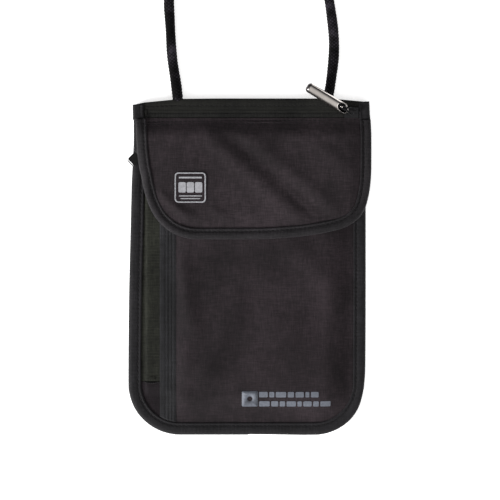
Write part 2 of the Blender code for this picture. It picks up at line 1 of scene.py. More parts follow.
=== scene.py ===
"""Neck pouch wallet: the detailed look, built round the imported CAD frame. Lengths in this file are in millimetres until mesh() turns them into metres."""

import math

import bmesh
import bpy
import numpy as np
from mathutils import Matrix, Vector, noise


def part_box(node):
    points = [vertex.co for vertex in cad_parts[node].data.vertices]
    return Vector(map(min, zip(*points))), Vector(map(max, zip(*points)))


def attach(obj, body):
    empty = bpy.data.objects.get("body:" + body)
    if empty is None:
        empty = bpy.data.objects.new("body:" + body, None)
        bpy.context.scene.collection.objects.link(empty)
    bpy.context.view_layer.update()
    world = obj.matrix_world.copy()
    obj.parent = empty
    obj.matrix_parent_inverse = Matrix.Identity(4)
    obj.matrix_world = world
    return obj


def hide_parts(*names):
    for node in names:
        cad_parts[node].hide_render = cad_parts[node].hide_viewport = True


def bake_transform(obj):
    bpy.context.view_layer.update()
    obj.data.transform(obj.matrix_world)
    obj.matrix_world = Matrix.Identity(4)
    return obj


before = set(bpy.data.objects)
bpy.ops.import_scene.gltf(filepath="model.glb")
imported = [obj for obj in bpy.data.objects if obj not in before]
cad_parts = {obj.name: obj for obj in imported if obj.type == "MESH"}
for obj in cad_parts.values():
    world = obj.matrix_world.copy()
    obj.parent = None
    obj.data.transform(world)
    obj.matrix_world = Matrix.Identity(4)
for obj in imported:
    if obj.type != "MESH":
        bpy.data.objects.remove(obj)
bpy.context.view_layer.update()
MM = 0.001
PI = math.pi


# ------------------------------------------------------------------ small maths
def smooth(t):
    t = np.clip(t, 0.0, 1.0)
    return t * t * (3 - 2 * t)


def noise2(x, y, scale, seed=0.0, octaves=2):
    """Smooth noise in about -1..1 at every x, y; scale is the size of a feature."""
    x, y = np.broadcast_arrays(np.asarray(x, float), np.asarray(y, float))
    out = np.empty(x.shape)
    flat = out.reshape(-1)
    for i, (a, b) in enumerate(zip(x.reshape(-1), y.reshape(-1))):
        total, gain, f = 0.0, 1.0, 1.0 / scale
        for _ in range(octaves):
            total += gain * noise.noise(Vector((a * f, b * f, seed)))
            gain *= 0.5
            f *= 2.0
        flat[i] = total
    return out


def ridge(x, y, start, end, width, height, ends=12.0):
    """A soft fold from start to end: height in the middle, falling off over width on each side."""
    sx, sy = start
    dx, dy = end[0] - sx, end[1] - sy
    long = math.hypot(dx, dy)
    dx, dy = dx / long, dy / long
    s = (x - sx) * dx + (y - sy) * dy
    d = (x - sx) * -dy + (y - sy) * dx
    return height * np.exp(-((d / width) ** 2)) * smooth((s + ends) / ends / 1.5) * smooth((long + ends - s) / ends / 1.5)


def route(points, step):
    """Catmull-Rom through the points, resampled evenly."""
    p = np.asarray(points, float)
    p = np.vstack([2 * p[0] - p[1], p, 2 * p[-1] - p[-2]])
    out = []
    for i in range(1, len(p) - 2):
        n = max(2, int(np.linalg.norm(p[i + 1] - p[i]) / step * 3) + 1)
        for t in np.linspace(0, 1, n, endpoint=False):
            out.append(
                0.5
                * (
                    2 * p[i]
                    + (p[i + 1] - p[i - 1]) * t
                    + (2 * p[i - 1] - 5 * p[i] + 4 * p[i + 1] - p[i + 2]) * t**2
                    + (3 * p[i] - p[i - 1] - 3 * p[i + 1] + p[i + 2]) * t**3
                )
            )
    out.append(p[-2])
    return even(out, step)


def even(points, step):
    p = np.asarray(points, float)
    s = np.r_[0, np.cumsum(np.linalg.norm(np.diff(p, axis=0), axis=1))]
    at = np.linspace(0, s[-1], max(2, int(round(s[-1] / step)) + 1))
    return np.stack([np.interp(at, s, p[:, k]) for k in range(p.shape[1])], axis=1)


def sides(line, closed=False):
    """Unit normals to the left of the way the line runs."""
    p = np.asarray(line, float)
    if closed:
        d = np.roll(p, -1, axis=0) - np.roll(p, 1, axis=0)
    else:
        d = np.gradient(p, axis=0)
    d /= np.linalg.norm(d, axis=1)[:, None]
    return np.stack([-d[:, 1], d[:, 0]], axis=1)


# ------------------------------------------------------------------ mesh makers
def mesh(name, points, faces, uv=None, slots=None, flat=False, auto=None):
    """points in millimetres; uv is one pair for each point; slots one material number for each face."""
    m = bpy.data.meshes.new(name)
    m.from_pydata([tuple(p) for p in np.asarray(points, float) * MM], [], [tuple(int(i) for i in f) for f in faces])
    m.update()
    if uv is not None:
        layer = m.uv_layers.new(name="UVMap")
        index = np.empty(len(m.loops), np.int32)
        m.loops.foreach_get("vertex_index", index)
        layer.data.foreach_set("uv", np.asarray(uv, np.float32)[index].reshape(-1))
    if slots is not None:
        m.polygons.foreach_set("material_index", np.asarray(slots, np.int32))
    m.polygons.foreach_set("use_smooth", [not flat] * len(m.polygons))
    o = bpy.data.objects.new(name, m)
    bpy.context.scene.collection.objects.link(o)
    if auto:
        sharp(o, auto)
    return o


def sharp(o, degrees):
    """Marks edges sharper than this, so shading breaks there."""
    bm = bmesh.new()
    bm.from_mesh(o.data)
    for e in bm.edges:
        if len(e.link_faces) == 2 and e.calc_face_angle(0.0) > math.radians(degrees):
            e.smooth = False
    bm.to_mesh(o.data)
    bm.free()


def inside(poly, x, y):
    poly = np.asarray(poly)
    hit = np.zeros(np.shape(x), bool)
    j = len(poly) - 1
    for i in range(len(poly)):
        xi, yi, xj, yj = *poly[i], *poly[j]
        if yi != yj:
            hit ^= ((yi > y) != (yj > y)) & (x < (xj - xi) * (y - yi) / (yj - yi) + xi)
        j = i
    return hit


def nearest(poly, p):
    """For each point, the closest point on the closed line, and how far it is."""
    a = np.asarray(poly, float)
    b = np.roll(a, -1, axis=0)
    ab = b - a
    length = (ab**2).sum(1) + 1e-12
    t = np.clip(((p[:, None, :] - a[None]) * ab[None]).sum(2) / length, 0, 1)
    q = a[None] + t[..., None] * ab[None]
    d = np.linalg.norm(p[:, None, :] - q, axis=2)
    k = d.argmin(1)
    return q[np.arange(len(p)), k], d[np.arange(len(p)), k]


def panel(name, outline, top, thick, step=1.4, edge=0.0, radius=0.0):
    """A sheet of cloth cut to the outline: top(x, y) is its upper face. edge and radius round it over at its border."""
    outline = np.asarray(outline, float)
    lo, hi = outline.min(0), outline.max(0)
    nx, ny = (max(2, int(math.ceil((h - l) / step))) for l, h in zip(lo, hi))
    xs, ys = np.linspace(lo[0], hi[0], nx + 1), np.linspace(lo[1], hi[1], ny + 1)
    cx, cy = np.meshgrid((xs[1:] + xs[:-1]) / 2, (ys[1:] + ys[:-1]) / 2, indexing="ij")
    keep = inside(outline, cx, cy)
    ids = -np.ones((nx + 1, ny + 1), int)
    cells = np.argwhere(keep)
    used = np.zeros_like(ids, bool)
    for dx in (0, 1):
        for dy in (0, 1):
            used[cells[:, 0] + dx, cells[:, 1] + dy] = True
    where = np.argwhere(used)
    ids[where[:, 0], where[:, 1]] = np.arange(len(where))
    p = np.stack([xs[where[:, 0]], ys[where[:, 1]]], axis=1)
    quads = np.stack(
        [ids[cells[:, 0] + a, cells[:, 1] + b] for a, b in ((0, 0), (1, 0), (1, 1), (0, 1))],
        axis=1,
    )
    ends = np.concatenate([quads[:, [k, (k + 1) % 4]] for k in range(4)])
    key = np.sort(ends, axis=1)
    _, first, count = np.unique(key, axis=0, return_index=True, return_counts=True)
    rim = ends[first[count == 1]]
    border = np.unique(rim)
    p[border] = nearest(outline, p[border])[0]
    z = top(p[:, 0], p[:, 1])
    lower = z - thick
    if radius:
        d = nearest(outline, p)[1]
        z = z - edge * (1 - np.sqrt(np.clip(1 - (1 - np.clip(d / radius, 0, 1)) ** 2, 0, 1)))
    n = len(p)
    points = np.vstack([np.c_[p, z], np.c_[p, lower]])
    faces = [tuple(q) for q in quads] + [tuple(q[::-1] + n) for q in quads]
    faces += [(a, a + n, b + n, b) for a, b in rim]
    uv = np.vstack([p, p]) / 10.0
    return mesh(name, points, faces, uv, auto=48)


def sweep(name, line, profile, lift=None, closed=False, pucker=None, settle_by=None, spread=None):
    """profile is a closed loop of (distance to the left of the line, height); spread(x, y) pushes its first 4 mm to the right."""
    line = np.asarray(line, float)
    side = sides(line, closed)
    profile = np.asarray(profile, float)
    s = np.r_[0, np.cumsum(np.linalg.norm(np.diff(line, axis=0), axis=1))]
    v = np.r_[0, np.cumsum(np.linalg.norm(np.diff(profile, axis=0), axis=1))]
    n, m = len(line), len(profile)
    away = np.broadcast_to(profile[None, :, :1], (n, m, 1))
    if spread is not None:
        away = away - spread(line[:, 0], line[:, 1])[:, None, None] * np.clip(1 - away / 4.0, 0.0, 1.0)
    xy = line[:, None, :] + side[:, None, :] * away
    z = np.broadcast_to(profile[None, :, 1], (n, m)).copy()
    if lift is not None:
        z = z + lift(xy[..., 0], xy[..., 1])
    if pucker is not None:
        z = z + pucker(s[:, None], profile[None, :, 0], profile[None, :, 1])
    if settle_by is not None:
        z = z - settle_by(xy[..., 1]) * smooth((profile[None, :, 1] - profile[:, 1].min()) / np.ptp(profile[:, 1]))
    points = np.concatenate([xy, z[..., None]], axis=2).reshape(-1, 3)
    uv = np.stack(np.broadcast_arrays(s[:, None] / 10.0, v[None, :] / 10.0), axis=2).reshape(-1, 2)
    faces = []
    for i in range(n if closed else n - 1):
        k = (i + 1) % n
        for j in range(m):
            l = (j + 1) % m
            faces.append((i * m + j, k * m + j, k * m + l, i * m + l))
    if not closed:
        faces.append(tuple(range(m)))
        faces.append(tuple(reversed(range((n - 1) * m, n * m))))
    o = mesh(name, points, faces, uv)
    outward(o)
    return o


def outward(o):
    bm = bmesh.new()
    bm.from_mesh(o.data)
    bmesh.ops.recalc_face_normals(bm, faces=bm.faces)
    bm.to_mesh(o.data)
    bm.free()


def channel(depth, z0, z1, t, puff=0.0, r=None):
    """A folded tape round an edge: its closed profile, rounded at the fold, a little puffed between fold and stitches."""
    h = z1 - z0
    r = min(h / 2, 1.7) if r is None else r

    def crown(n):
        if n < depth - 2.1:
            return puff * math.sin(PI * n / (depth - 2.1)) ** 0.8
        if n < depth - 1.6:
            return -0.08
        return (0.16 + 0.22 * puff) * math.sin(PI * min(1.0, (n - depth + 1.6) / 1.6))

    out = []
    for n in np.linspace(depth - 0.1, r, 22):
        out.append((n, z1 + crown(n)))
    for a in np.linspace(0, PI / 2, 6)[1:]:
        out.append((r - r * math.sin(a), z1 - r + r * math.cos(a) + crown(r - r * math.sin(a)) * math.cos(a)))
    for a in np.linspace(PI / 2, 0, 6)[:-1]:
        out.append((r - r * math.sin(a), z0 + r - r * math.cos(a)))
    for n in np.linspace(r, depth - 0.1, 8):
        out.append((n, z0))
    out.append((depth, z0 + t / 2))
    inner = [(depth - 0.1, z0 + t)]
    ri = max(0.15, r - t)
    for a in np.linspace(0, PI / 2, 4):
        inner.append((t + ri - ri * math.sin(a), z0 + t + ri - ri * math.cos(a)))
    for a in np.linspace(PI / 2, 0, 4):
        inner.append((t + ri - ri * math.sin(a), z1 - t - ri + ri * math.cos(a)))
    for n in np.linspace(t + ri, depth - 0.1, 14)[1:]:
        inner.append((n, z1 - t + crown(n)))
    inner.append((depth, z1 - t / 2))
    return out + inner


def rods(name, segments, radius, flatten=0.7, around=8, along=6):
    """Small rounded rods, each from one point to another, all in one mesh: threads and zip teeth."""
    points, faces, uv = [], [], []
    for a, b in segments:
        a, b = np.asarray(a, float), np.asarray(b, float)
        d = b - a
        long = np.linalg.norm(d)
        d /= long
        side = np.cross((0, 0, 1.0), d)
        side /= np.linalg.norm(side)
        up = np.cross(d, side)
        base = len(points)
        ts = [-math.cos(PI * k / along) for k in range(along + 1)]
        points.append(a)
        uv.append((0, 0))
        for t in ts[1:-1]:
            r = radius * (1 - abs(t) ** 3.5) ** 0.5
            c = (a + b) / 2 + d * t * long / 2
            for k in range(around):
                w = 2 * PI * k / around
                points.append(c + side * r * math.cos(w) + up * r * flatten * math.sin(w))
                uv.append((t, k / around))
        points.append(b)
        uv.append((1, 0))
        rings = along - 1
        last = len(points) - 1
        for k in range(around):
            l = (k + 1) % around
            faces.append((base, base + 1 + l, base + 1 + k))
            for r in range(rings - 1):
                p, q = base + 1 + r * around, base + 1 + (r + 1) * around
                faces.append((p + k, p + l, q + l, q + k))
            p = base + 1 + (rings - 1) * around
            faces.append((p + k, p + l, last))
    return mesh(name, points, faces, uv)


def stitch_line(line, height, pitch=2.7, length=2.0):
    """Thread segments along a line, sitting on height(x, y)."""
    p = even(line, pitch)
    d = np.gradient(p, axis=0)
    d /= np.linalg.norm(d, axis=1)[:, None]
    out = []
    for q, w in zip(p[:-1], d[:-1]):
        a, b = q, q + w * length
        za, zb = (float(height(np.array([c[0]]), np.array([c[1]]))[0]) for c in (a, b))
        out.append(((a[0], a[1], za), (b[0], b[1], zb)))
    return out


def tube(name, path, radius, around=24, bump=None, flatten=None):
    """A round tube along a 3-D path, with caps; bump(s, angle) changes its radius, flatten(s) gives its width and height scales."""
    p = np.asarray(path, float)
    t = np.gradient(p, axis=0)
    t /= np.linalg.norm(t, axis=1)[:, None]
    s = np.r_[0, np.cumsum(np.linalg.norm(np.diff(p, axis=0), axis=1))]
    side = np.cross(t, (0, 0, 1.0))
    side /= np.linalg.norm(side, axis=1)[:, None]
    up = np.cross(side, t)
    a = np.linspace(0, 2 * PI, around, endpoint=False)
    r = np.full((len(p), around), float(radius))
    if bump is not None:
        r = r + bump(s[:, None], a[None, :])
    wide = high = np.ones((len(p), 1))
    if flatten is not None:
        wide, high = (np.asarray(k)[:, None] for k in flatten(s))
    points = (
        p[:, None, :]
        + side[:, None, :] * (r * wide * np.cos(a))[..., None]
        + up[:, None, :] * (r * high * np.sin(a))[..., None]
    ).reshape(-1, 3)
    n = around
    faces = [
        (i * n + k, (i + 1) * n + k, (i + 1) * n + (k + 1) % n, i * n + (k + 1) % n)
        for i in range(len(p) - 1)
        for k in range(n)
    ]
    faces += [tuple(range(n)), tuple(reversed(range((len(p) - 1) * n, len(p) * n)))]
    uv = np.stack(np.broadcast_arrays(s[:, None] / 10.0, a[None, :] / (2 * PI)), axis=2).reshape(-1, 2)
    o = mesh(name, points, faces, uv)
    outward(o)
    return o


def merge(first, *others):
    """Joins others into first, keeping each one's material."""
    bpy.context.view_layer.update()
    with bpy.context.temp_override(active_object=first, selected_editable_objects=[first, *others]):
        bpy.ops.object.join()
    return first


# ------------------------------------------------------------------ materials
def colour(r, g, b):
    """sRGB 0-255 to linear."""
    return tuple(((c / 255 + 0.055) / 1.055) ** 2.4 if c > 10 else c / 255 / 12.92 for c in (r, g, b)) + (1.0,)


class Nodes:
    def __init__(self, name):
        self.m = bpy.data.materials.new(name)
        self.m.use_nodes = True
        self.t = self.m.node_tree
        self.t.nodes.clear()
        self.out = self.add("OutputMaterial")
        self.p = self.add("BsdfPrincipled")
        self.t.links.new(self.p.outputs[0], self.out.inputs[0])

    def add(self, kind, **values):
        n = self.t.nodes.new("ShaderNode" + kind)
        for k, v in values.items():
            setattr(n, k, v)
        return n

    def put(self, node, key, value):
        socket = node.inputs[key]
        if isinstance(value, bpy.types.NodeSocket):
            self.t.links.new(value, socket)
        else:
            socket.default_value = value

    def math(self, op, a, b=0.0, c=0.0):
        n = self.add("Math", operation=op)
        for k, v in enumerate((a, b, c)):
            if k < len(n.inputs):
                self.put(n, k, v)
        return n.outputs[0]

    def split(self, vector):
        n = self.add("SeparateXYZ")
        self.put(n, 0, vector)
        return n.outputs

    def noise(self, vector, scale, detail=3.0, rough=0.55):
        n = self.add("TexNoise")
        self.put(n, "Vector", vector)
        self.put(n, "Scale", scale)
        self.put(n, "Detail", detail)
        self.put(n, "Roughness", rough)
        return n.outputs["Fac"]

    def ramp(self, fac, stops):
        n = self.add("ValToRGB")
        e = n.color_ramp.elements
        while len(e) < len(stops):
            e.new(0.5)
        for k, (at, c) in enumerate(stops):
            e[k].position = at
            e[k].color = c
        self.put(n, 0, fac)
        return n.outputs[0]

    def range(self, value, a, b, c, d):
        n = self.add("MapRange")
        for k, v in enumerate((value, a, b, c, d)):
            self.put(n, k, v)
        return n.outputs[0]

    def bump(self, height, distance, strength=1.0, after=None):
        n = self.add("Bump")
        self.put(n, "Strength", strength)
        self.put(n, "Distance", distance)
        self.put(n, "Height", height)
        if after is not None:
            self.put(n, "Normal", after)
        return n.outputs[0]

    def scale(self, value, factor):
        return tuple(min(1.0, c * factor) for c in value[:3]) + (1.0,)


def woven(name, base, pitch=0.55, rough=0.82, depth=0.00006, vary=0.22, sheen=0.07, rib=None, coords="Object", spec=0.18, lint=0.0):
    """Plain-weave cloth: threads over and under each other, slightly uneven in tone. rib=(axis, pitch) gives a ribbed tape instead."""
    k = Nodes(name)
    tc = k.add("TexCoord").outputs[coords]
    per = 2 * PI / (pitch * (MM if coords == "Object" else 0.1))
    x, y, _ = k.split(tc)
    if rib is None:
        sx = k.math("SINE", k.math("MULTIPLY", x, per))
        sy = k.math("SINE", k.math("MULTIPLY", y, per))
        half = k.math("MULTIPLY", sx, sy)
        over = k.math("ABSOLUTE", half)
        thread = k.math("ADD", k.math("MULTIPLY", over, 0.7), k.math("MULTIPLY", half, 0.3))
    else:
        axis, rp = rib
        rper = 2 * PI / (rp * (MM if coords == "Object" else 0.1))
        main = k.math("ABSOLUTE", k.math("SINE", k.math("MULTIPLY", (x, y)[axis], rper / 2)))
        cross = k.math("SINE", k.math("MULTIPLY", (y, x)[axis], per * 1.3))
        thread = k.math("ADD", main, k.math("MULTIPLY", cross, 0.12))
    obj = k.add("TexCoord").outputs["Object"]
    broad = k.noise(obj, 30.0, 4.0)
    slubs = []
    for stretch in ((1500.0, 170.0, 400.0), (170.0, 1500.0, 400.0)):
        mapped = k.add("Mapping")
        k.put(mapped, "Vector", obj)
        mapped.inputs["Scale"].default_value = stretch
        slubs.append(k.noise(mapped.outputs[0], 1.0, 2.0))
    slub = k.math("ADD", k.math("MULTIPLY", slubs[0], 0.5), k.math("MULTIPLY", slubs[1], 0.5))
    tone = k.math("ADD", k.math("MULTIPLY", broad, 0.45), k.math("MULTIPLY", slub, 0.55))
    tone = k.math("ADD", tone, k.math("MULTIPLY", thread, 0.10))
    shade = k.ramp(tone, [(0.41, k.scale(base, max(0.05, 1 - 2.6 * vary))), (0.54, base), (0.68, k.scale(base, 1 + 4.4 * vary))])
    k.put(k.p, "Base Color", shade)
    k.put(k.p, "Roughness", k.range(tone, 0.2, 0.9, rough - 0.07, min(1.0, rough + 0.08)))
    k.p.inputs["Sheen Weight"].default_value = sheen
    k.p.inputs["Sheen Roughness"].default_value = 0.45
    k.p.inputs["Sheen Tint"].default_value = (0.9, 0.88, 0.92, 1.0)
    k.p.inputs["Specular IOR Level"].default_value = spec
    n = k.bump(k.noise(obj, 160.0, 3.0), 0.0005, 0.5)
    n = k.bump(slub, 0.00022, 0.8, n)
    k.put(k.p, "Normal", k.bump(thread, depth, 0.8, n))
    return k.m


def metal(name, base, rough=0.22, grain=0.00001, wear=0.15):
    k = Nodes(name)
    tc = k.add("TexCoord").outputs["Object"]
    n = k.noise(tc, 220.0, 4.0)
    f = k.noise(tc, 1800.0, 2.0)
    k.put(k.p, "Base Color", k.ramp(n, [(0.3, k.scale(base, 1 - wear)), (0.7, base)]))
    k.put(k.p, "Roughness", k.range(n, 0.3, 0.7, rough * 0.75, rough * 1.4))
    k.p.inputs["Metallic"].default_value = 1.0
    k.put(k.p, "Normal", k.bump(f, grain, 0.5))
    return k.m


def plastic(name, base, rough=0.4, spec=0.5, coat=0.0, grain=0.00002):
    k = Nodes(name)
    tc = k.add("TexCoord").outputs["Object"]
    n = k.noise(tc, 300.0, 4.0)
    f = k.noise(tc, 2600.0, 2.0)
    k.put(k.p, "Base Color", k.ramp(n, [(0.3, k.scale(base, 0.8)), (0.7, k.scale(base, 1.15))]))
    k.put(k.p, "Roughness", k.range(n, 0.3, 0.7, rough * 0.85, rough * 1.2))
    k.p.inputs["Specular IOR Level"].default_value = spec
    k.p.inputs["Coat Weight"].default_value = coat
    k.put(k.p, "Normal", k.bump(f, grain, 0.6))
    return k.m


def braid(name, base):
    k = Nodes(name)
    uv = k.add("TexCoord").outputs["UV"]
    u, v, _ = k.split(uv)
    a = k.math("MULTIPLY", v, 2 * PI * 4)
    b = k.math("MULTIPLY", u, 2 * PI * 10 / 4.0)
    one = k.math("SINE", k.math("ADD", a, b))
    two = k.math("SINE", k.math("SUBTRACT", a, b))
    cell = k.math("MULTIPLY", one, two)
    strand = k.math("ABSOLUTE", cell)
    obj = k.add("TexCoord").outputs["Object"]
    broad = k.noise(obj, 95.0, 3.0)
    tone = k.math("ADD", k.math("MULTIPLY", k.math("SUBTRACT", broad, 0.27), 1.35), k.math("MULTIPLY", strand, 0.34))
    k.put(k.p, "Base Color", k.ramp(tone, [(0.22, k.scale(base, 0.2)), (0.45, k.scale(base, 1.5)), (0.74, k.scale(base, 15.0))]))
    k.put(k.p, "Roughness", k.range(tone, 0.1, 0.9, 0.8, 0.92))
    k.p.inputs["Sheen Weight"].default_value = 0.03
    k.p.inputs["Sheen Roughness"].default_value = 0.4
    k.p.inputs["Specular IOR Level"].default_value = 0.1
    n = k.bump(k.noise(obj, 1900.0, 2.0), 0.00008, 0.6)
    k.put(k.p, "Normal", k.bump(strand, 0.00025, 0.7, n))
    return k.m


def printed(name, base):
    k = Nodes(name)
    obj = k.add("TexCoord").outputs["Object"]
    n = k.noise(obj, 900.0, 3.0)
    k.put(k.p, "Base Color", k.ramp(n, [(0.32, k.scale(base, 0.72)), (0.6, base)]))
    k.put(k.p, "Roughness", k.range(n, 0.2, 0.8, 0.5, 0.75))
    k.put(k.p, "Normal", k.bump(n, 0.00003, 0.5))
    return k.m


PANEL = woven("panel_nylon", colour(35, 29, 32), pitch=0.62, rough=0.80)
FLAP = woven("flap_nylon", colour(39, 33, 36), pitch=0.62, rough=0.80)
LINING = woven("lining_taffeta", colour(26, 24, 26), pitch=0.4, rough=0.7, depth=0.00003)
HEADER = woven("header_twill", colour(20, 20, 18), pitch=0.5, rough=0.85, rib=(1, 0.7))
TAPE = woven("zip_tape", colour(28, 29, 24), pitch=0.6, rough=0.84, rib=(1, 0.9), depth=0.00014, vary=0.3)
TAPE_X = woven("zip_tape_across", colour(22, 22, 21), pitch=0.6, rough=0.84, rib=(0, 0.9), depth=0.00010, vary=0.25)
PLACKET = woven("placket_nylon", colour(31, 31, 33), pitch=0.62, rough=0.8)
BINDING = woven("grosgrain_binding", colour(22, 21, 23), pitch=0.5, rough=0.7, rib=(0, 0.85), coords="UV", depth=0.00012, vary=0.25, sheen=0.08)
FLAP_BINDING = woven("grosgrain_flap_binding", colour(27, 25, 27), pitch=0.5, rough=0.7, rib=(0, 0.85), coords="UV", depth=0.00012, vary=0.25, sheen=0.08)
THREAD = plastic("thread_black", colour(15, 13, 15), rough=0.7, spec=0.25)
TEETH = plastic("zip_coil_black", colour(10, 10, 10), rough=0.5, spec=0.2)
CORD = braid("neck_cord_braid", colour(8, 7, 9))
STEEL = metal("polished_steel", (0.82, 0.77, 0.73, 1.0), rough=0.12)
# The dark metal for the domed end of the tube pull is a painted dark reflection.
CAP_PAINTED_DARK_REFLECTION = metal("tube_end_painted_dark_reflection", (0.16, 0.15, 0.15, 1.0), rough=0.25)
# The near-black metal for the inside of the tube's mouth is painted shade in the bore.
BORE_PAINTED_SHADE = metal("tube_bore_painted_shade", (0.05, 0.05, 0.055, 1.0), rough=0.3)
DARK = metal("black_nickel", (0.040, 0.040, 0.042, 1.0), rough=0.45)
PULL = plastic("pull_black", colour(7, 7, 7), rough=0.45, spec=0.25, coat=0.0)
# The light grey for the front pull's ferrule is a painted highlight along the pull's edge.
FERRULE_PAINTED_HIGHLIGHT = plastic("ferrule_painted_highlight_grey", colour(150, 150, 150), rough=0.4)
PRINT = printed("print_grey", colour(98, 102, 112))
BADGE_LINE = printed("badge_grey", colour(165, 165, 170))
END_CLOTH = woven("zip_end_nylon", colour(24, 18, 22), pitch=0.62, rough=0.82)
HOOK = woven("hook_strip", colour(18, 18, 19), pitch=1.1, rough=0.55, depth=0.0003, vary=0.35)
LOOP = woven("loop_strip", colour(24, 24, 25), pitch=0.8, rough=0.95, depth=0.0003, vary=0.35, sheen=0.4)


def dress(o, material):
    o.data.materials.clear()
    o.data.materials.append(material)
    return o


def settle(o, body, slot, *nodes):
    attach(o, body)
    if nodes:
        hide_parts(*nodes)
    return o


# ------------------------------------------------------------------ camera, floor and light first
cam_data = bpy.data.cameras.new("camera")
cam_data.lens, cam_data.sensor_width = 100.0, 36.0
cam_data.clip_start, cam_data.clip_end = 0.05, 20.0
cam = bpy.data.objects.new("camera", cam_data)
bpy.context.scene.collection.objects.link(cam)
cam.location = (1.5 * MM, 9.6 * MM, 0.8333 + 0.006)
bpy.context.scene.camera = cam

floor = mesh("floor", [(-3000, -3000, -0.3), (3000, -3000, -0.3), (3000, 3000, -0.3), (-3000, 3000, -0.3)], [(0, 1, 2, 3)])
fm = Nodes("floor_white")
ft = fm.add("TexCoord").outputs["Object"]
fm.put(fm.p, "Base Color", fm.ramp(fm.noise(ft, 2.0), [(0.0, (0.90, 0.90, 0.90, 1)), (1.0, (0.93, 0.93, 0.93, 1))]))
fm.p.inputs["Roughness"].default_value = 0.9
fm.p.inputs["Emission Color"].default_value = (1.0, 1.0, 1.0, 1.0)
fm.p.inputs["Emission Strength"].default_value = 0.62
fm.p.inputs["Specular IOR Level"].default_value = 0.1
dress(floor, fm.m)

world = bpy.data.worlds.new("studio")
bpy.context.scene.world = world
world.use_nodes = True
wn = world.node_tree.nodes["Background"]
wt = world.node_tree
direction = wt.nodes.new("ShaderNodeTexCoord")
fade = wt.nodes.new("ShaderNodeValToRGB")
fade.color_ramp.elements[0].position = 0.35
fade.color_ramp.elements[0].color = (0.10, 0.10, 0.105, 1)
fade.color_ramp.elements[1].position = 0.92
fade.color_ramp.elements[1].color = (1.0, 0.985, 0.97, 1)
lean = wt.nodes.new("ShaderNodeVectorMath")
lean.operation = "DOT_PRODUCT"
lean.inputs[1].default_value = (-0.26, -0.26, 0.92)
wt.links.new(direction.outputs["Generated"], lean.inputs[0])
wt.links.new(lean.outputs["Value"], fade.inputs[0])
wt.links.new(fade.outputs[0], wn.inputs[0])
wn.inputs[1].default_value = 0.62


def area(name, at, to, size, power, tint=(1, 1, 1)):
    d = bpy.data.lights.new(name, "AREA")
    d.shape = "RECTANGLE"
    d.size, d.size_y = size
    d.energy = power
    d.color = tint
    o = bpy.data.objects.new(name, d)
    bpy.context.scene.collection.objects.link(o)
    o.location = at
    o.rotation_euler = (Vector(to) - Vector(at)).to_track_quat("-Z", "Y").to_euler()
    return o


area("key", (-1.15, -0.62, 0.62), (0, 0.02, 0), (0.55, 0.55), 30.0)
area("fill", (0.9, -0.5, 0.9), (0, 0, 0), (0.9, 0.9), 7.0)
bpy.context.scene.view_settings.view_transform = "Standard"

# ------------------------------------------------------------------ shape of the pouch
LEFT = [(-68.6, 87.8), (-68.5, 60), (-69.2, 25), (-70.1, -12), (-70.5, -45), (-70.6, -70.8)]
RIGHT = [(70, -70.8), (70.2, -45), (70.3, -12), (70.3, 25), (70.3, 60), (70.3, 87.8)]
BODY = list(LEFT)
BODY += [(-40.6 - 30 * math.cos(math.radians(a)), -70.8 - 30.1 * math.sin(math.radians(a))) for a in np.arange(7.5, 91, 7.5)]
BODY += [(-20, -100.9), (0, -100.9), (20, -100.9)]
BODY += [(40 + 30 * math.cos(math.radians(a)), -70.8 - 30.1 * math.sin(math.radians(a))) for a in np.arange(90, 0, -7.5)]
BODY += RIGHT
BODY = np.array(BODY)
FLAP_LINE = np.array([
    (-67.4, 87.9), (-67.2, 85.9), (-67, 83.7), (-66.85, 81.5), (-66.75, 79.3), (-66.6, 77.2), (-66.5, 75), (-66.1, 68.8),
    (-65.1, 60.5), (-63.5, 52.8), (-62.2, 46.6), (-60.6, 40.9), (-58.8, 36), (-56.6, 31.6), (-54, 27.6), (-50.7, 24.1),
    (-46.6, 20.8), (-41.7, 18.3), (-36.7, 16.8), (-31.7, 16.1), (-15, 16), (8.1, 16.1), (20, 16.7), (32.7, 17.8), (43, 19.3),
    (52.9, 21.4), (56, 22.3), (58.6, 23.3), (61.2, 24.6), (63.6, 26.1), (65.7, 27.8), (67.6, 29.8), (70.4, 34.4), (72.3, 41),
    (73.5, 48), (74.1, 56), (74.2, 66), (74.2, 75), (74.2, 77.2), (74.2, 79.3), (74.1, 81.5), (74.05, 83.7), (74, 85.9), (73.9, 87.9),
])  # fmt: skip
TOP = np.array([(-69, 96.8), (-62, 98.4), (-39.3, 100.6), (-20, 100.8), (49.5, 100.8), (73.2, 98.6)])


def top_y(x):
    return np.interp(x, TOP[:, 0], TOP[:, 1])


def mouth_y(x):
    return 82.4 - 9 * smooth((44 - np.abs(x - 6)) / 26)


def rise(x, y):
    r = smooth((x + 52.4) / 17) * smooth((63.4 - x) / 17) * smooth((y + 93.9) / 17)
    for cx, test in ((40, lambda a, b: (a > 40) & (b < -70.8)), (-40.6, lambda a, b: (a < -40.6) & (b < -70.8))):
        corner = smooth((23 - np.hypot(x - cx, y + 70.8)) / 17)
        r = np.where(test(x, y), np.minimum(r, corner), r)
    return r


def ledge(x, y):
    return smooth((x + 61.75) / 1.4) * smooth((-42 - x) / 8) * smooth((y + 79) / 7)


def front_z(x, y):
    r = rise(x, y)
    return 2.8 + 5.1 * r + 1.9 * ledge(x, y) * (1 - r)


def flap_z(x, y):
    full = 7.4 + 2.7 * np.minimum(smooth((x + 67) / 9), smooth((72 - x) / 12))
    return 6.0 + (full - 6.0) * smooth((88.0 - y) / 11)


def body_edge(inset):
    n = sides(BODY)
    return BODY + n * inset


def cut(poly, test):
    """The part of a closed outline for which the test holds, on a fine resampling of it."""
    ring = even(np.vstack([poly, poly[:1]]), 0.5)[:-1]
    return ring[test(ring[:, 0], ring[:, 1])]


body_in = even(body_edge(0.8), 1.0)


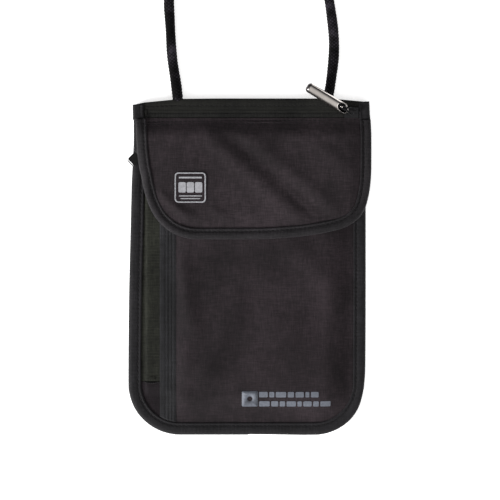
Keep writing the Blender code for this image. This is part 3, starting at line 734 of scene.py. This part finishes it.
def body_region(x0, x1, y0, top):
    """The body's inset outline between x0 and x1, above y0 and under the line top(x)."""
    xs = np.linspace(max(x0, -69.2), min(x1, 69.4), 60)
    yy = top(xs)
    line = [(a, b) for a, b in zip(xs, yy)]
    down = body_in
    right = down[(down[:, 0] > 0)][::-1]
    ring = []
    for p in right:
        if p[0] < x1 and p[1] < top(p[0]) and p[1] > y0 and p[0] > x0:
            ring.append(tuple(p))
    low = down[(down[:, 0] <= 0)][::-1]
    for p in low:
        if x0 < p[0] < x1 and p[1] < top(p[0]) and p[1] > y0:
            ring.append(tuple(p))
    return line, ring


def region(x0, x1, y0, top):
    line, ring = body_region(x0, x1, y0, top)
    out = line + ring
    if x0 > -69:
        floor_y = max(y0, min([p[1] for p in ring if p[0] < x0 + 3] + [y0]))
        out.append((x0, floor_y if ring == [] else ring[-1][1]))
    return np.array(out)


# soft folds, shared by the layers that lie on each other so that they stay clear
def body_folds(x, y):
    f = 1.5 * noise2(x, y, 44.0, 3.1, 2) + 0.35 * noise2(x, y, 19.0, 8.2, 2)
    f = f + ridge(x, y, (-28, -66), (-4, -22), 7.0, 1.3) + ridge(x, y, (-6, -78), (30, -36), 8.0, 1.1)
    f = f + ridge(x, y, (58, -16), (28, 10), 7.0, 1.1) - ridge(x, y, (4, 4), (24, -4), 8.0, 0.7)
    f = f + ridge(x, y, (-44, 12), (-30, -44), 5.0, 0.8)
    inner = smooth((x + 50) / 12) * smooth((62 - x) / 14) * smooth((y + 92) / 14) * smooth((80 - y) / 10)
    return np.clip(f + 0.5, -0.25, 2.6) * inner


def flap_folds(x, y):
    f = 1.0 * noise2(x, y, 42.0, 5.5, 2) + 0.25 * noise2(x, y, 17.0, 1.2, 2)
    f = f + ridge(x, y, (-22, 76), (34, 26), 6.0, 1.5) + ridge(x, y, (-2, 80), (52, 34), 5.0, 1.1)
    f = f - ridge(x, y, (-12, 78), (42, 30), 4.5, 0.6)
    f = f + ridge(x, y, (-52, 44), (-34, 26), 2.6, 0.8, 5) + ridge(x, y, (-44, 36), (-22, 24), 2.4, 0.6, 6) + ridge(x, y, (-20, 34), (-6, 24), 2.6, 0.5, 5)
    f = f + ridge(x, y, (24, 84), (62, 58), 5.0, 0.7)
    inner = smooth((x + 60) / 10) * smooth((66 - x) / 12) * smooth((y - 22) / 10) * smooth((84 - y) / 9)
    return np.clip(f + 0.45, -0.1, 2.7) * inner


BODY_R = route(BODY, 1.2)
FLAP_R = route(FLAP_LINE, 1.1)

# ------------------------------------------------------------------ neck cord
D = 6.0
left = route([(-42.0, 101.3), (-43.2, 111.0), (-45.4, 126.0), (-46.5, 144.0), (-47.3, 160.0), (-46.5, 175.0), (-43.6, 189.0)], 3.0)
right = route([(43.6, 189.0), (46.5, 175.0), (49.2, 160.0), (51.6, 142.0), (52.0, 128.0), (50.3, 111.6), (48.6, 101.3)], 3.0)
coil = []
for phi in np.arange(-4.0, 1262.0, 7.5):
    r = 36.2 + 5.6 * (1 - smooth((phi + 16) / 44)) - 6.2 * smooth((phi - 300) / 55) + 6.2 * smooth((phi - 945) / 55)
    r = r + 6.4 * smooth((phi - 1190) / 60)
    z = 3.1 + 6.2 * smooth((phi - 636) / 46) - 6.2 * smooth((phi - 1222) / 66)
    a = math.radians(180 - phi)
    coil.append((r * math.cos(a), 207.0 + r * math.sin(a), z))
way = [(x, y, 3.1) for x, y in left] + coil + [(x, y, 3.1 + 1.2 * max(0.0, 1 - i / 4.0)) for i, (x, y) in enumerate(right)]
cord_path = route(way, 0.6)


def braid_bump(s, a):
    one = np.sin(4 * a + 2 * PI * s / 4.0)
    two = np.sin(4 * a - 2 * PI * s / 4.0)
    return 0.38 * np.abs(one * two) ** 0.7 - 0.2 + 0.10 * np.sin(2 * PI * s / 61.0 + 1.0) + 0.06 * np.sin(2 * PI * s / 23.0)


cord = dress(tube("neck_cord", cord_path, D / 2, 32, braid_bump), CORD)
settle(cord, "pouch", "cord", "cord_left", "cord_right", "cord_coil")

band = []
for q in range(4):
    cx, cz = ((1, 1), (-1, 1), (-1, -1), (1, -1))[q]
    for a in np.linspace(q * PI / 2, (q + 1) * PI / 2, 7):
        band.append((cx * 3.1 + 3.45 * math.cos(a), cz * 3.1 + 3.45 * math.sin(a)))
band = np.array(band)
pts, fcs = [], []
xs = np.linspace(-4.5, 4.5, 13)
for layer, off in ((0, 0.0), (1, 0.7)):
    for x in xs:
        round_off = -0.25 * (abs(x) / 4.5) ** 6 * layer
        for b in band:
            d = b / np.linalg.norm(b)
            low = -0.28 if layer else -0.2
            pts.append((x, 174.0 + (b + d * (off + round_off))[0], max(low, 6.25 + (b + d * (off + round_off))[1])))
nb, nx = len(band), len(xs)
for i in range(nx - 1):
    for j in range(nb):
        k = (j + 1) % nb
        o = nx * nb
        fcs.append((i * nb + j, i * nb + k, (i + 1) * nb + k, (i + 1) * nb + j))
        fcs.append((o + i * nb + j, o + (i + 1) * nb + j, o + (i + 1) * nb + k, o + i * nb + k))
for i in (0, nx - 1):
    for j in range(nb):
        k = (j + 1) % nb
        fcs.append((i * nb + j, i * nb + k, nx * nb + i * nb + k, nx * nb + i * nb + j))
tie = mesh("cord_tie_band", pts, fcs, uv=[(p[0] / 10, p[1] / 10) for p in pts])
outward(tie)
dress(tie, LOOP)
settle(tie, "pouch", "cord", "cord_tie")

# where the cord is pressed flat and sewn into the top seam
for side_name, x in (("left", -42.0), ("right", 48.6)):
    p = np.array([(x, y, 3.1) for y in np.linspace(96.4, 101.25, 14)])

    def pressed(s, total=4.85):
        k = smooth(s / total)
        return 1.38 - 0.38 * k, 0.42 + 0.58 * k

    end = dress(tube("cord_sewn_" + side_name, p, 2.98, 32, lambda s, a: 0.08 * np.abs(np.sin(4 * a + s)), pressed), CORD)
    settle(end, "pouch", "cord", "cord_end_" + side_name)

# ------------------------------------------------------------------ cloth layers of the body
low = -200.0
back_outline = np.vstack([route(np.vstack([BODY[::-1] + sides(BODY)[::-1] * 0.8]), 1.0), [(x, top_y(x) - 0.6) for x in np.linspace(-68.2, 72.4, 60)]])


def back_top(x, y):
    d = nearest(BODY_R, np.stack([np.ravel(x), np.ravel(y)], 1))[1].reshape(np.shape(x))
    lift = 0.7 * (1 - smooth((d - 5.4) / 5.0))
    lift = np.where(y > 83, np.maximum(lift, 0.7 * smooth((y - 83) / 5)), lift)
    return lift + 0.5 + 0.18 * np.clip(noise2(x, y, 34.0, 7.7, 2), 0, 1) * smooth((d - 9) / 12)


back = dress(panel("back_panel_cloth", back_outline, back_top, 0.45, 1.8), PANEL)
settle(back, "pouch", "fabric", "back_panel")

full_outline = region(-200, 200, low, lambda x: 84.6 + 0 * x)
divider = dress(panel("divider_cloth", region(-200, 200, low, lambda x: 87.2 + 0 * x), lambda x, y: 1.9 - 0.3 * rise(x, y) + 2.0 * smooth((y - 80.0) / 5.0), 0.4, 2.2), LINING)
settle(divider, "pouch", "fabric", "divider_panel")

wall = dress(panel("pocket_wall_cloth", region(-200, 200, low, mouth_y), lambda x, y: 2.6 + 4.3 * rise(x, y) + 0.5 * body_folds(x, y), 0.4, 2.0), LINING)
settle(wall, "pouch", "fabric", "pocket_back_wall")

front = dress(panel("front_panel_cloth", region(-52.2, 200, low, mouth_y), lambda x, y: front_z(x, y) + 0.5 + body_folds(x, y), 0.45, 1.25), PANEL)
settle(front, "pouch", "fabric", "pocket_front_panel")

end_outline = region(-200, -52.35, -97.4, lambda x: -69.55 - 0.5 * np.sin(np.clip((x + 62) / 9, 0, 1) * PI))
zip_end = dress(panel("zip_end_cloth", end_outline, lambda x, y: front_z(x, y) + 0.55 + 0.10 * noise2(x, y, 9.0, 2.0), 0.45, 0.9), END_CLOTH)
settle(zip_end, "pouch", "fabric", "zip_end_panel")

placket_outline = [(x, 81.6) for x in np.linspace(-42.9, -52.75, 6)] + [(-52.75, y) for y in np.linspace(80, -90.6, 90)] + [(x, -70.8 - math.sqrt(23.2**2 - (x + 40.6) ** 2)) for x in np.linspace(-52.4, -43.1, 12)] + [(-42.9, y) for y in np.linspace(-93.6, 80, 90)]


def placket_z(x, y):
    across = (x + 47.65) / 4.75
    pillow = 0.35 * (1 - across**2) + 0.15
    for at in (-49.3, -47.1, -45.2, -43.5):
        pillow = pillow - 0.36 * np.exp(-(((x - at) / 0.42) ** 2))
    return front_z(x, y) + 1.0 + pillow + body_folds(x, y)


placket = dress(panel("placket_cloth", placket_outline, placket_z, 0.45, 0.45, 0.4, 0.7), PLACKET)
settle(placket, "pouch", "fabric", "placket_edge")

# ------------------------------------------------------------------ front zip
def tape_z(x, y):
    return np.where(x < -61.9, front_z(x, y) + 0.6 + 1.2 * smooth((x + 62.4) / 1.4), front_z(x, y) + 0.5)


tape_l = [(-57.34, y) for y in np.linspace(81.6, -69.2, 80)] + [(np.interp(y, [-70.8, -45, -12, 25, 60, 87.8], [-69.8, -69.7, -69.3, -68.4, -67.7, -67.8]), y) for y in np.linspace(-69.2, 81.6, 80)]
tape_r = [(-57.26, y) for y in np.linspace(-69.2, 81.6, 80)] + [(-52.6, y) for y in np.linspace(81.6, -69.2, 80)]


def tape_top(x, y):
    z = 2.8 + 1.9 * smooth((x + 61.75) / 1.4) * smooth((y + 79) / 7) + 0.5
    return z


for nm, outline, node in (("left", tape_l, "front_zip_tape_left"), ("right", tape_r, "front_zip_tape_right")):
    t = dress(panel("front_tape_" + nm, outline, tape_top, 0.45, 0.7), TAPE)
    settle(t, "pouch", "zip_tape", node)


def teeth(name, centre, along, z, pairs, body_slot, nodes, step=1.15):
    """The nylon coil: rounded loops across the slot, the two sides taking turns."""
    for which, (nm, node) in enumerate(zip(("a", "b"), nodes)):
        segs = []
        side = -1 if which == 0 else 1
        for k, at in enumerate(np.arange(along[0] + which * step / 2, along[1], step)):
            inner, outer = -0.28 * side, 1.35 * side
            if pairs == "y":
                segs.append(((centre + inner, at, z), (centre + outer, at + 0.12, z)))
            else:
                segs.append(((at, centre + inner, z), (at + 0.12, centre + outer, z)))
        o = dress(rods(name + "_" + nm, segs, 0.27, 0.95, 6, 5), TEETH)
        settle(o, "pouch", "black_nylon", node)


teeth("front_teeth", -57.3, (-66.0, 79.4), 4.2, "y", None, ("front_zip_coil_left", "front_zip_coil_right"))
teeth("header_teeth", 92.0, (-60.2, 66.3), 4.1, "x", None, ("header_coil_lower", "header_coil_upper"))

# ------------------------------------------------------------------ header
xs = np.linspace(-68.1, 72.5, 120)
lower_outline = [(x, 88.3) for x in xs] + [(x, 91.88) for x in xs[::-1]]
upper_outline = [(x, 92.08) for x in xs] + [(x, top_y(x) - 0.15) for x in xs[::-1]]


def header_z(x, y):
    z = 5.1 + 0 * x
    for at, deep in ((96.5, 0.34), (94.1, 0.26)):
        z = z - deep * np.exp(-(((y - at) / 0.4) ** 2))
    return z + 0.22 * smooth((y - 95.6) / 1.2) * (1 - smooth((y - 99.6) / 1.0)) * (1 + 0.35 * noise2(x, y, 12.0, 4.0, 1))


for nm, outline, node in (("lower", lower_outline, "header_tape_lower"), ("upper", upper_outline, "header_tape_upper")):
    t = dress(panel("header_tape_" + nm + "_cloth", outline, header_z, 0.45, 0.75, 0.3, 0.7), HEADER if nm == "upper" else TAPE_X)
    settle(t, "pouch", "zip_tape", node)

header_left = [(-68.9, 88.05), (-69.0, 92.0), (-69.1, 96.95)]
header_right = [(73.85, 88.05), (73.6, 92.0), (73.3, 98.85)]
for nm, line, node in (("left", header_left[::-1], "header_binding_left"), ("right", header_right, "header_binding_right")):
    b = dress(sweep("header_binding_" + nm + "_tape", route(line, 0.8), channel(6.6, 0.0, 5.75, 0.5, 0.3), settle_by=lambda y: -0.45 * smooth((92.5 - y) / 4.5)), BINDING)
    settle(b, "pouch", "binding", node)

seam_profile = [(0.45, 1.4), (0.9, 1.36), (1.8, 1.4), (1.8, 4.3), (1.1, 4.36), (0.45, 4.3), (0.3, 2.9)]
seam_parts = []
for k, (a, b) in enumerate(((-61.9, -46.6), (-37.4, 44.0), (53.2, 66.3))):
    line = [(x, top_y(x)) for x in np.linspace(b, a, max(4, int((b - a) / 1.5)))]
    seam_parts.append(sweep("top_seam_%d" % k, line, seam_profile))
seam = merge(seam_parts[0], *seam_parts[1:])
seam.name = "top_seam_edges"
dress(seam, LINING)
settle(seam, "pouch", "fabric", "top_edge_seam")

# ------------------------------------------------------------------ body binding
def pucker(pitch, where, deep):
    return lambda s, n, z: -deep * np.exp(-(((n - where) / 0.7) ** 2)) * (0.6 + 0.4 * np.cos(2 * PI * s / pitch)) * (z > 1.0)


def swell(x, y):
    """The stuffed body is a little wider than its header, most of all down the left side."""
    corner = 1 - 0.85 * np.exp(-(((y + 77.0) / 9.0) ** 2))
    side = np.where(x < 0, 1.2 * smooth((82.0 - y) / 36.0), 0.95 * smooth((66.0 - y) / 20.0) * corner)
    return side - 0.35 * (1 - smooth((np.abs(x + 20.0) - 25.0) / 30.0)) * (y < -90.0)


binding = dress(sweep("body_binding_tape", BODY_R, channel(6.6, 0.0, 3.87, 0.5, 0.46), pucker=pucker(2.7, 4.75, 0.16), spread=swell), BINDING)
settle(binding, "pouch", "binding", "body_binding")


# ------------------------------------------------------------------ flap
def seam_y(x):
    """The upper of the two stitch rows that hold the flap, a little higher at the right."""
    return 86.3 + (x + 61.5) / 128.4 * 1.4


def flatter(y):
    """The flap thins towards its seam."""
    return 0.9 * smooth((y - 80.0) / 8.0)


def flap_top(x, y):
    z = flap_z(x, y) + 1.1 + flap_folds(x, y) - flatter(y)
    row = seam_y(x)
    z = z - 0.42 * np.exp(-(((y - row) / 0.45) ** 2)) - 0.3 * np.exp(-(((y - row + 1.5) / 0.45) ** 2)) + 0.22 * np.exp(-(((y - row + 0.75) / 0.5) ** 2))
    up = smooth((y - 86.6) / 2.0)
    return z * (1 - up) + 5.68 * up


flap_ring = FLAP_R + sides(FLAP_R) * 0.8
flap_outline = np.vstack([flap_ring[flap_ring[:, 1] < 87.6], [(x, 88.72) for x in np.linspace(72.4, -65.9, 90)]])
flap = dress(panel("flap_cloth", flap_outline, flap_top, 0.45, 0.8), FLAP)

rim = [(x, seam_y(x)) for x in np.linspace(-60.0, 66.0, 60)]
rim2 = [(x, seam_y(x) - 1.5) for x in np.linspace(-60.0, 66.0, 60)]
segs = stitch_line(rim, lambda x, y: flap_top(x, y) + 0.10) + stitch_line(rim2, lambda x, y: flap_top(x, y) + 0.10)
hinge_stitch = dress(rods("flap_seam_thread", segs, 0.26), THREAD)
for o in (flap, hinge_stitch):
    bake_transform(o)
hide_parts("flap_outer")

lining_outline = np.vstack([(FLAP_R + sides(FLAP_R) * 0.9)[3:-3]])
lining = dress(panel("flap_lining_cloth", lining_outline, lambda x, y: flap_z(x, y) + 0.4 + 0.5 * flap_folds(x, y), 0.36, 1.6), LINING)
settle(lining, "flap", "fabric", "flap_lining")

flap_bind = dress(sweep("flap_binding_tape", FLAP_R, channel(6.6, -0.65, 1.8, 0.5, 0.70, 1.2), lift=flap_z, pucker=pucker(2.7, 4.75, 0.14), settle_by=flatter), FLAP_BINDING)
settle(flap_bind, "flap", "binding", "flap_binding")

# ------------------------------------------------------------------ stitching
def inset(line, n):
    return line + sides(line) * n


body_top = lambda x, y: 3.84 + 0 * x
segs = stitch_line(inset(BODY_R, 4.75), body_top)
thread_body = dress(rods("body_binding_thread", segs, 0.27), THREAD)
settle(thread_body, "pouch", "binding")
segs = stitch_line(inset(FLAP_R, 4.75), lambda x, y: flap_z(x, y) + 1.80 - flatter(y))
thread_flap = dress(rods("flap_binding_thread", segs, 0.27), THREAD)
settle(thread_flap, "flap", "binding")
segs = []
for x in (-49.3, -47.1, -45.2, -43.5):
    segs += stitch_line([(x, y) for y in np.linspace(80.8, -89.6, 90)], lambda a, b: placket_z(a, b) + 0.05)
thread_placket = dress(rods("placket_thread", segs, 0.19), THREAD)
settle(thread_placket, "pouch", "fabric")
segs = stitch_line([(x, np.interp(x, [-62, -39.3, 66], [95.1, 96.4, 96.5])) for x in np.linspace(-61, 65.5, 60)], lambda x, y: header_z(x, y) + 0.05)
segs += stitch_line([(x, 89.0 + (x + 61.5) / 128.4 * 0.5 * 0 + 0.0) for x in np.linspace(-61, 65.5, 60)], lambda x, y: header_z(x, y) + 0.05)
thread_header = dress(rods("header_thread", segs, 0.25), THREAD)
settle(thread_header, "pouch", "zip_tape")
# A seam along the zip-end patch's top edge, drawn as one thick unbroken black thread so that it also paints the shade
# at the patch's folded edge.
segs = stitch_line([(x, -69.75 - 0.5 * math.sin((x + 62) / 9 * PI)) for x in np.linspace(-62.0, -52.8, 24)], lambda x, y: front_z(x, y) + 0.62 + 0 * x, 1.3, 1.32)
zip_seam_and_shade_line = dress(rods("front_zip_seam_and_painted_shade_line", segs, 0.42), THREAD)
settle(zip_seam_and_shade_line, "pouch", "zip_tape")


# ------------------------------------------------------------------ hook and loop
def box_outline(x0, x1, y0, y1, r=1.2):
    out = []
    for cx, cy, a0 in ((x1 - r, y1 - r, 0), (x0 + r, y1 - r, 90), (x0 + r, y0 + r, 180), (x1 - r, y0 + r, 270)):
        out += [(cx + r * math.cos(math.radians(a)), cy + r * math.sin(math.radians(a))) for a in np.arange(a0, a0 + 91, 15)]
    return out


hook = dress(
    panel("hook_strip_tape", box_outline(-24, 42, 30, 46), lambda x, y: front_z(x, y) + 1.1 + body_folds(x, y) + 0.08 * np.sin(x * 2 * PI / 1.6) * np.sin(y * 2 * PI / 1.6), 0.5, 0.5), HOOK
)
settle(hook, "pouch", "black_nylon", "hook_strip")
loop = dress(
    panel("loop_strip_tape", box_outline(-24, 42, 30, 46), lambda x, y: flap_z(x, y) - 0.25 + 0.5 * flap_folds(x, y), 0.5, 0.6), LOOP
)
settle(loop, "flap", "black_nylon", "loop_strip")

# ------------------------------------------------------------------ badge and print
def ring(name, outer, inner, height, thick):
    """A flat closed band between two outlines with the same number of points."""
    n = len(outer)
    pts, fcs = [], []
    for line in (outer, inner):
        for x, y in line:
            pts.append((x, y, float(height(np.array([x]), np.array([y]))[0])))
    for line in (outer, inner):
        for x, y in line:
            pts.append((x, y, float(height(np.array([x]), np.array([y]))[0]) - thick))
    for i in range(n):
        k = (i + 1) % n
        fcs += [(i, k, n + k, n + i), (2 * n + i, 3 * n + i, 3 * n + k, 2 * n + k), (i, 2 * n + i, 2 * n + k, k), (n + i, n + k, 3 * n + k, 3 * n + i)]
    o = mesh(name, pts, fcs, uv=[(p[0] / 10, p[1] / 10) for p in pts])
    outward(o)
    return o


def above_flap(h):
    return lambda x, y: flap_top(x, y) + h


def fine(outline, step=0.5):
    o = np.asarray(outline)
    return even(np.vstack([o, o[:1]]), step)[:-1]


bx0, bx1, by0, by1 = -43.5, -24.5, 37.6, 56.1
patch = dress(panel("badge_patch", box_outline(bx0, bx1, by0, by1, 2.4), lambda x, y: above_flap(0.45)(x, y), 0.34, 0.8, 0.2, 0.5), FLAP)
settle(patch, "flap", "badge", "flap_badge")
outer = box_outline(bx0 + 0.2, bx1 - 0.2, by0 + 0.2, by1 - 0.2, 2.3)
inner_line = box_outline(bx0 + 1.0, bx1 - 1.0, by0 + 1.0, by1 - 1.0, 1.6)
parts = [ring("badge_line", outer, inner_line, above_flap(0.66), 0.16)]
cx, cy = (bx0 + bx1) / 2, (by0 + by1) / 2
a = np.linspace(0, 2 * PI, 41)[:-1]
parts.append(panel("badge_bar", box_outline(bx0 + 2.6, bx1 - 2.6, by1 - 3.9, by1 - 2.9, 0.3), above_flap(0.66), 0.16, 0.8))
for x in (bx0 + 2.4, bx0 + 7.3, bx0 + 12.2):
    parts.append(panel("badge_block", box_outline(x, x + 4.4, by0 + 6.2, by0 + 12.4, 0.8), above_flap(0.66), 0.16, 0.8))
for k, y in enumerate((by0 + 3.9, by0 + 2.3)):
    parts.append(panel("badge_bar", box_outline(bx0 + 2.6 + k, bx1 - 2.6 - k, y, y + 0.55, 0.2), above_flap(0.66), 0.16, 0.8))
badge = merge(parts[0], *parts[1:])
badge.name = "badge_motif_line"
dress(badge, BADGE_LINE)
settle(badge, "flap", "badge")


def above_front(h):
    return lambda x, y: front_z(x, y) + 0.5 + body_folds(x, y) + h


ink = []
sx0, sy0 = -3.4, -84.2
ink.append(ring("print_square", fine(box_outline(sx0, sx0 + 9.6, sy0, sy0 + 9.6, 0.8))[:72], fine([(sx0 + 4.8 + 1.5 * math.cos(t), sy0 + 4.8 + 1.5 * math.sin(t)) for t in np.linspace(0, 2 * PI, 72)[:-1]], 0.13)[:72], above_front(0.22), 0.15))
for y0, h, widths in ((-78.5, 3.3, (5.2, 3.0, 6.2, 3.8, 5.0, 2.4, 4.6)), (-84.2, 3.3, (6.4, 4.2, 3.2, 5.6, 2.6, 5.0, 3.4, 6.2))):
    x = 6.9
    for w in widths:
        if x + w > 50.2:
            break
        ink.append(panel("print_bar", box_outline(x, x + w, y0, y0 + h, 0.55), above_front(0.22), 0.15, 0.6))
        x += w + 0.9
marks = merge(ink[0], *ink[1:])
marks.name = "front_print_marks"
dress(marks, PRINT)
settle(marks, "pouch", "print", "front_print_patch")

# ------------------------------------------------------------------ metal: tube pull
PIN = np.array((53.0238, 96.7702, 10.2))
EYE = np.array((56.1, 94.9, 10.2))
AX = np.array((-0.8545, 0.5195, 0.0))
AX /= np.linalg.norm(AX)
SIDE = np.array((-AX[1], AX[0], 0.0))
UP = np.array((0, 0, 1.0))


def turned_tube():
    around = 64
    a = np.linspace(0, 2 * PI, around, endpoint=False)
    lip = -4.45 + 7.2 * (1 + np.sin(a)) / 2  # the mouth is cut at a slant and looks up
    rows = []
    for r, s in ((3.05, None),):
        pass
    R, ri, end = 3.05, 2.25, 24.2
    # inside, from deep to the lip
    for s in np.linspace(14.0, 0, 5):
        rows.append((np.full(around, ri), lip + s))
    for t in np.linspace(0, PI, 9)[1:]:
        rows.append((np.full(around, (R + ri) / 2 - (R - ri) / 2 * math.cos(t)), lip - 0.35 * math.sin(t)))
    for f in np.linspace(0, 1, 26)[1:]:
        s = lip + (end - 2.2 - lip) * f
        groove = 0.10 * math.exp(-(((f - 0.90) / 0.012) ** 2)) + 0.10 * math.exp(-(((f - 0.94) / 0.012) ** 2))
        rows.append((np.full(around, R - groove), s))
    for t in np.linspace(0, PI / 2, 8)[1:]:
        rows.append((np.full(around, max(0.02, (R - 2.2) + 2.2 * math.cos(t))), np.full(around, end - 2.2 + 2.2 * math.sin(t))))
    pts, uv = [], []
    for k, (r, s) in enumerate(rows):
        for j in range(around):
            pts.append(EYE + AX * s[j] + SIDE * r[j] * math.cos(a[j]) + UP * r[j] * math.sin(a[j]))
            uv.append((k / 20, j / around))
    fcs = [
        (k * around + j, k * around + (j + 1) % around, (k + 1) * around + (j + 1) % around, (k + 1) * around + j)
        for k in range(len(rows) - 1)
        for j in range(around)
    ]
    fcs += [tuple(range(around)), tuple(reversed(range((len(rows) - 1) * around, len(rows) * around)))]
    o = mesh("header_pull_tube", pts, fcs, uv)
    outward(o)
    o.data.materials.append(STEEL)
    o.data.materials.append(BORE_PAINTED_SHADE)
    o.data.materials.append(CAP_PAINTED_DARK_REFLECTION)
    # The inner rows of the bore take the near-black metal: painted shade inside the mouth.
    deep, cap = 5 * around, (len(rows) - 8) * around
    # The rows of the domed end take the dark metal, a painted dark reflection.
    for f in o.data.polygons:
        if max(f.vertices) < deep:
            f.material_index = 1
        elif min(f.vertices) >= cap:
            f.material_index = 2
    return o


pull = turned_tube()
sharp(pull, 50)
settle(pull, "header_pull", "steel", "top_pull_tube")


def on_cad(node, material, bevel=0.0):
    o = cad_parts[node]
    o.data.materials.clear()
    o.data.materials.append(material)
    if bevel:
        m = o.modifiers.new("edge", "BEVEL")
        m.width = bevel * MM
        m.segments = 3
        m.limit_method = "ANGLE"
        m.angle_limit = math.radians(35)
        m.harden_normals = False
        for p in o.data.polygons:
            p.use_smooth = True
    return o


on_cad("top_slider", DARK)
on_cad("front_slider", DARK)
on_cad("top_pull_link", DARK)
on_cad("top_pull_pin", STEEL)
on_cad("front_pull", PULL)
# The ferrule's light grey is a painted highlight.
on_cad("front_pull_ferrule", FERRULE_PAINTED_HIGHLIGHT)

# the zips end in bar tacks: a few close threads across the tape
for node, nm, material in (
    ("front_zip_bottom_stop", "front_zip_bottom_tack", TAPE),
    ("front_zip_top_stop", "front_zip_top_tack", TAPE),
    ("header_stop_left", "header_left_tack", HEADER),
):
    lo, hi = (np.array(c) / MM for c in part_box(node))
    wide = hi[0] - lo[0] > hi[1] - lo[1]
    segs = []
    for k in np.linspace(0.12, 0.88, 6):
        if wide:
            y = lo[1] + k * (hi[1] - lo[1])
            segs.append(((lo[0], y, lo[2] + 0.0), (hi[0], y + 0.15, lo[2] + 0.0)))
        else:
            x = lo[0] + k * (hi[0] - lo[0])
            segs.append(((x, lo[1], lo[2] + 0.0), (x + 0.12, hi[1], lo[2] + 0.0)))
    tack = dress(rods(nm, segs, 0.19, 0.8, 8, 8), material)
    settle(tack, "pouch", "zip_tape", node)

# the crimp that closes the wire loop shows bright in the mouth of the tube
bead = dress(rods("header_link_crimp", [((56.9, 94.55, 10.75), (55.3, 95.45, 11.15))], 0.52, 0.9, 16, 10), STEEL)
settle(bead, "header_pull", "steel")
